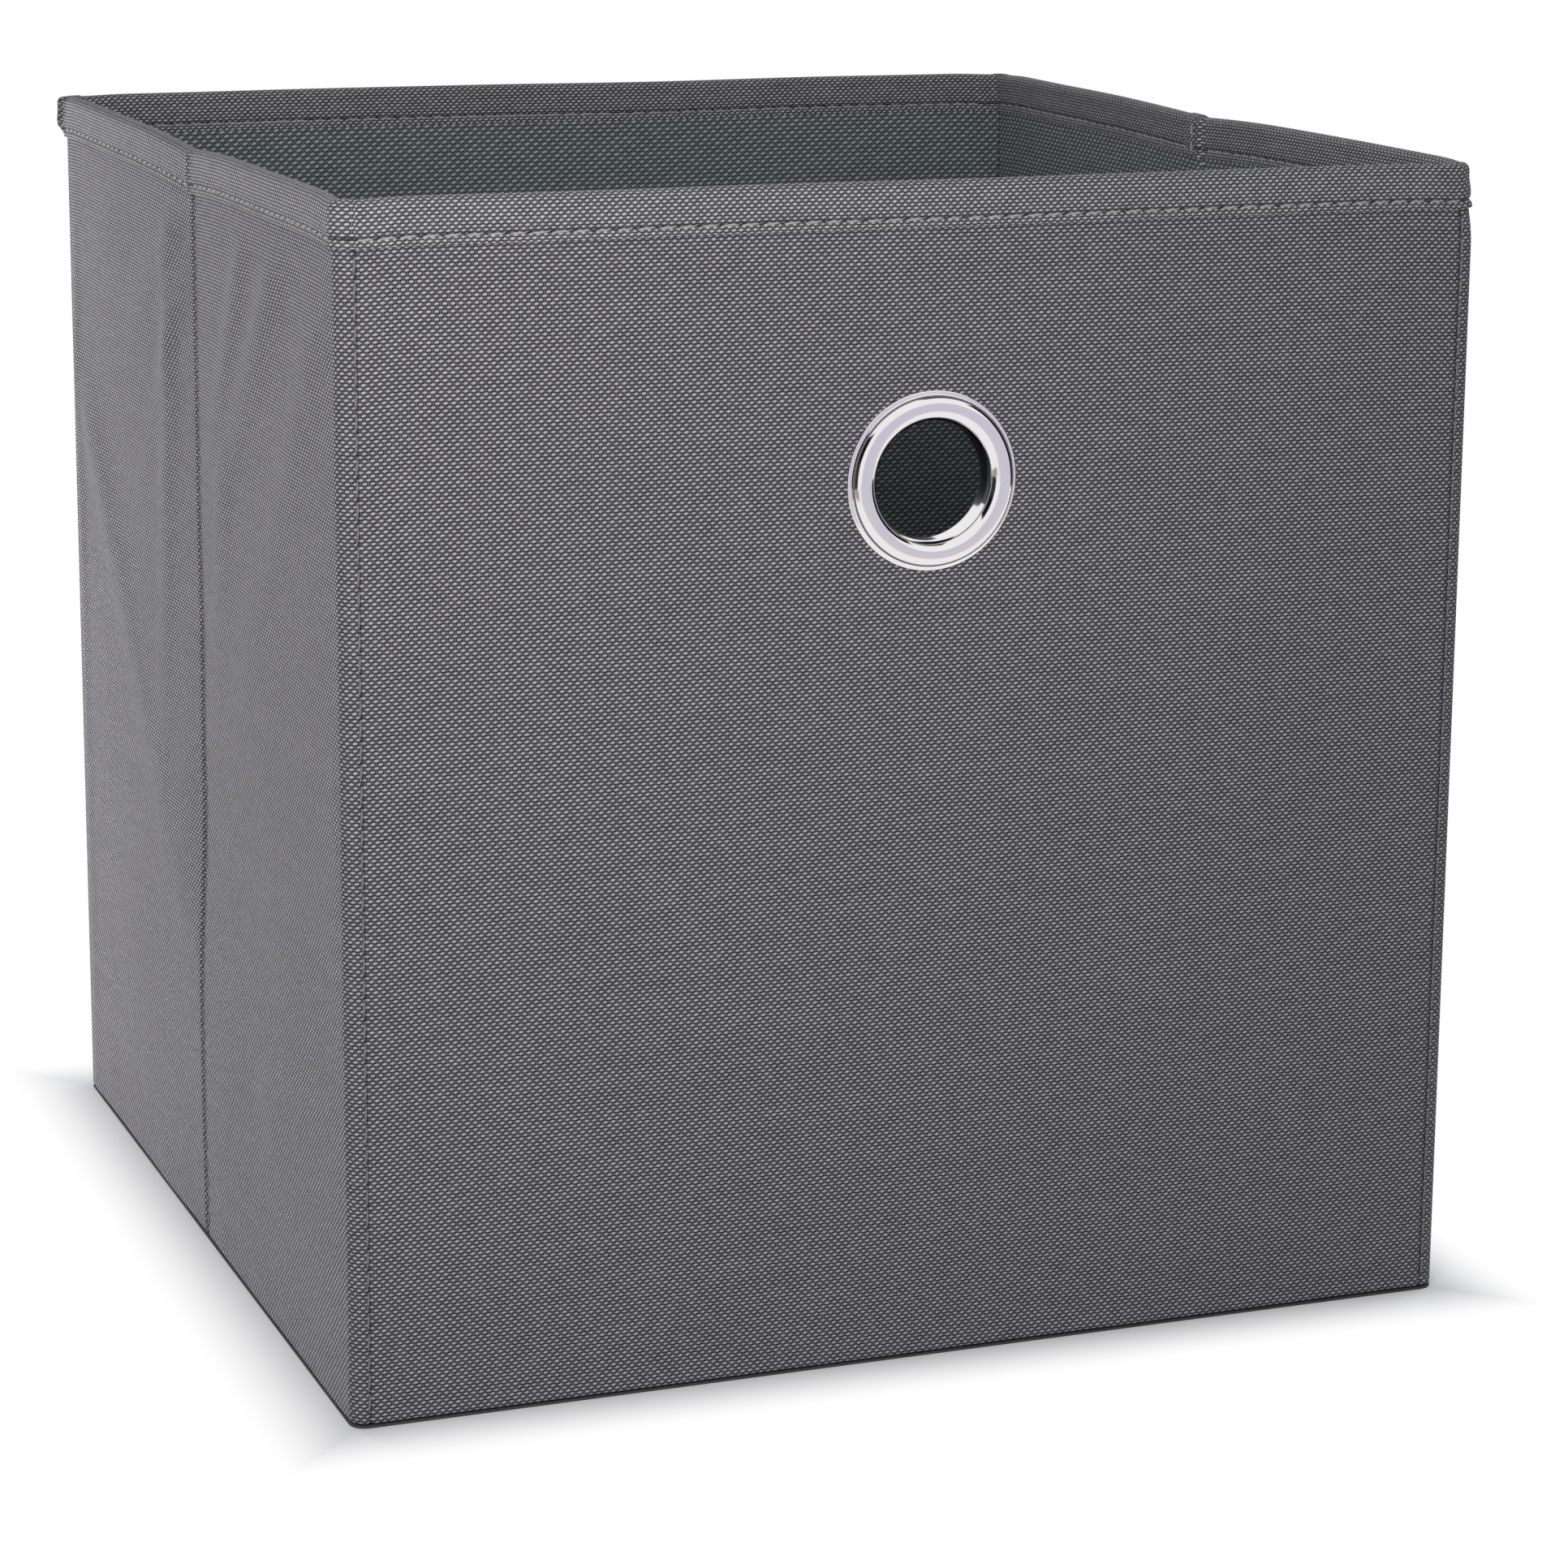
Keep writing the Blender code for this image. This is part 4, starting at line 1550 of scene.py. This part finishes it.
@dataclass
class Studio:
    """The camera, lamps, floor and world."""

    azimuth: float = -20.98
    elevation: float = 12.4
    roll: float = 0.41
    distance: float = 4.152 * CUBE
    aim: tuple[float, float, float] = (0.0633 * CUBE, 0.0, 0.4722 * CUBE)
    focal_length: float = 2.832 * SENSOR
    ambient: float = 0.22
    shadow: tuple[float, float] = (-12 * MM, 26 * MM)      # where the contact shadow and the painted shade round the bin's foot fade out

    def camera(self) -> None:
        """Sets up the camera."""
        data = bpy.data.cameras.new("camera")
        data.lens = self.focal_length
        data.sensor_width = SENSOR
        data.shift_y = -0.06
        camera = bpy.data.objects.new("camera", data)
        bpy.context.scene.collection.objects.link(camera)
        a, e = math.radians(self.azimuth), math.radians(self.elevation)
        back = Vector((math.sin(a) * math.cos(e), -math.cos(a) * math.cos(e), math.sin(e)))
        camera.location = Vector(self.aim) + back * self.distance
        camera.rotation_mode = "QUATERNION"
        turn = Quaternion((0, 0, 1), math.radians(self.roll))
        camera.rotation_quaternion = (-back).to_track_quat("-Z", "Y") @ turn
        data.clip_start, data.clip_end = 0.05, 50
        bpy.context.scene.camera = camera

    def seen_ray(self, tree: bpy.types.NodeTree) -> bpy.types.NodeSocket:
        """1 for rays that show the background: straight, mirrored or seen through."""
        path = tree.nodes.new("ShaderNodeLightPath")
        total = path.outputs["Is Camera Ray"]
        for name in ("Is Glossy Ray", "Is Transmission Ray"):
            either = tree.nodes.new("ShaderNodeMath")
            either.operation = "MAXIMUM"
            tree.links.new(total, either.inputs[0])
            tree.links.new(path.outputs[name], either.inputs[1])
            total = either.outputs[0]
        return total

    def world(self) -> None:
        """A white backdrop round a plain soft light."""
        world = bpy.data.worlds.new("studio")
        bpy.context.scene.world = world
        world.use_nodes = True
        tree = world.node_tree
        background = tree.nodes["Background"]
        level = tree.nodes.new("ShaderNodeMapRange")
        tree.links.new(self.seen_ray(tree), level.inputs["Value"])
        level.inputs["To Min"].default_value = self.ambient
        level.inputs["To Max"].default_value = 1.0
        tree.links.new(level.outputs[0], background.inputs["Strength"])
        tint = tree.nodes.new("ShaderNodeMix")
        tint.data_type = "RGBA"
        tree.links.new(self.seen_ray(tree), tint.inputs[0])
        tint.inputs[6].default_value = (0.84, 0.88, 1.0, 1)
        tint.inputs[7].default_value = (1, 1, 1, 1)
        tree.links.new(tint.outputs[2], background.inputs["Color"])

    def floor(self) -> None:
        """A white floor that keeps the contact shadow, with painted shade round the bin's foot: near
        the outline it is a darker grey, which fades to white with distance from the outline.
        """
        floor = fresh(
            "studio_floor", bpy.ops.mesh.primitive_plane_add, size=14.0, location=(0, 0, -0.05 * MM)
        )
        g = Graph("studio_floor")
        split = g.node("SeparateXYZ", {}, {0: g.object_place()})
        away = g.math("MAXIMUM", abs(g.wire(split, 0)), abs(g.wire(split, 1))) - HALF
        # share: mask of the painted shade, from the darker grey floor at the bin's outline to white
        # further out
        share = away.eased(*self.shadow)
        g.set(Base_Color=(0.46, 0.465, 0.49, 1), Roughness=1.0, Specular_IOR_Level=0.0)
        glow = g.node("Emission", {}, {"Color": (1, 1, 1, 1), "Strength": 1.0})
        blend = g.node("MixShader")
        g.feed(blend.inputs[0], share * Wire(g, self.seen_ray(g.tree)))
        g.tree.links.new(g.shader.outputs[0], blend.inputs[1])
        g.tree.links.new(glow.outputs[0], blend.inputs[2])
        g.tree.links.new(blend.outputs[0], g.output.inputs["Surface"])
        floor.data.materials.append(g.material)

    def card(
        self, name: str, place_at: tuple[float, float, float], size: tuple[float, float],
        glow: tuple[float, float, float] = (0.0, 0.0, 0.0),
    ) -> None:
        """A card that only mirrors show: dark, or glowing where it has a glow."""
        card = fresh(name, bpy.ops.mesh.primitive_plane_add, size=1.0)
        facing = (Vector((0, -HALF, EYELET_HEIGHT)) - Vector(place_at)).to_track_quat("Z", "Y")
        card.rotation_mode = "QUATERNION"
        card.rotation_quaternion = facing
        card.location = place_at
        card.scale = (size[0], size[1], 1)
        g = Graph(name)
        g.set(Base_Color=(0.01, 0.008, 0.008, 1), Roughness=1.0, Specular_IOR_Level=0.0)
        g.set(Emission_Color=(*glow, 1), Emission_Strength=1.0)
        card.data.materials.append(g.material)
        for ray in ("camera", "diffuse", "shadow", "transmission", "volume_scatter"):
            setattr(card, f"visible_{ray}", False)

    def build(self) -> None:
        """Sets up everything round the bin."""
        scene = bpy.context.scene
        scene.view_settings.view_transform = "Standard"
        self.camera()
        self.world()
        self.floor()
        Lamp("key", (-0.34, -0.70, 0.49), (0, 0, 0.16), 0.36, 4.7, (1.0, 0.985, 0.955)).hang()
        Lamp("left_fill", (-0.50, 0.88, 0.16), (-0.16, 0, 0.15), 0.30, 15.3, (1.0, 0.985, 0.965)).hang()
        Lamp("right_fill", (1.3, 0.5, 0.8), (0, 0, 0.15), 1.0, 13.0, (0.90, 0.94, 1.0)).hang()
        Lamp("back_fill", (0.5, 1.5, 0.9), (0, 0, 0.15), 1.0, 5.0).hang()
        self.card("left_card", (-0.85, -0.42, 0.66), (1.0, 0.50))
        self.card("left_dark_card", (-0.66, -0.32, 0.24), (0.75, 0.30), (0.030, 0.024, 0.020))
        self.card("left_low_card", (-0.55, -0.46, 0.03), (0.6, 0.14), (0.42, 0.37, 0.32))
        self.card("right_card", (0.95, -0.25, 0.40), (0.8, 1.1))
        self.card("top_card", (0.42, 0.05, 1.15), (0.9, 0.85))
        self.card("front_card", (0.42, -1.05, 0.16), (1.3, 0.75), (0.66, 0.655, 0.78))
        self.card("front_low_card", (0.24, -0.66, 0.03), (1.0, 0.22), (0.70, 0.68, 0.72))


def main() -> None:
    """Builds the bin's pieces and the studio round them."""
    logging.basicConfig(level=logging.INFO, format="%(name)s: %(message)s")
    wardrobe = Wardrobe.cut()
    Studio().build()
    boards = Boards()
    cloth = WallCloth()
    linings = Linings()
    binding = Binding()
    stitching = Stitching(binding)
    eyelet = Eyelet()
    floor = Floor()
    for part in (boards, cloth, linings, binding, stitching, eyelet, floor):
        part.build(wardrobe)
        for piece in part.pieces:
            LOG.info("%s: %d faces", piece.name, len(piece.data.polygons))


if __name__ == "__main__":
    main()
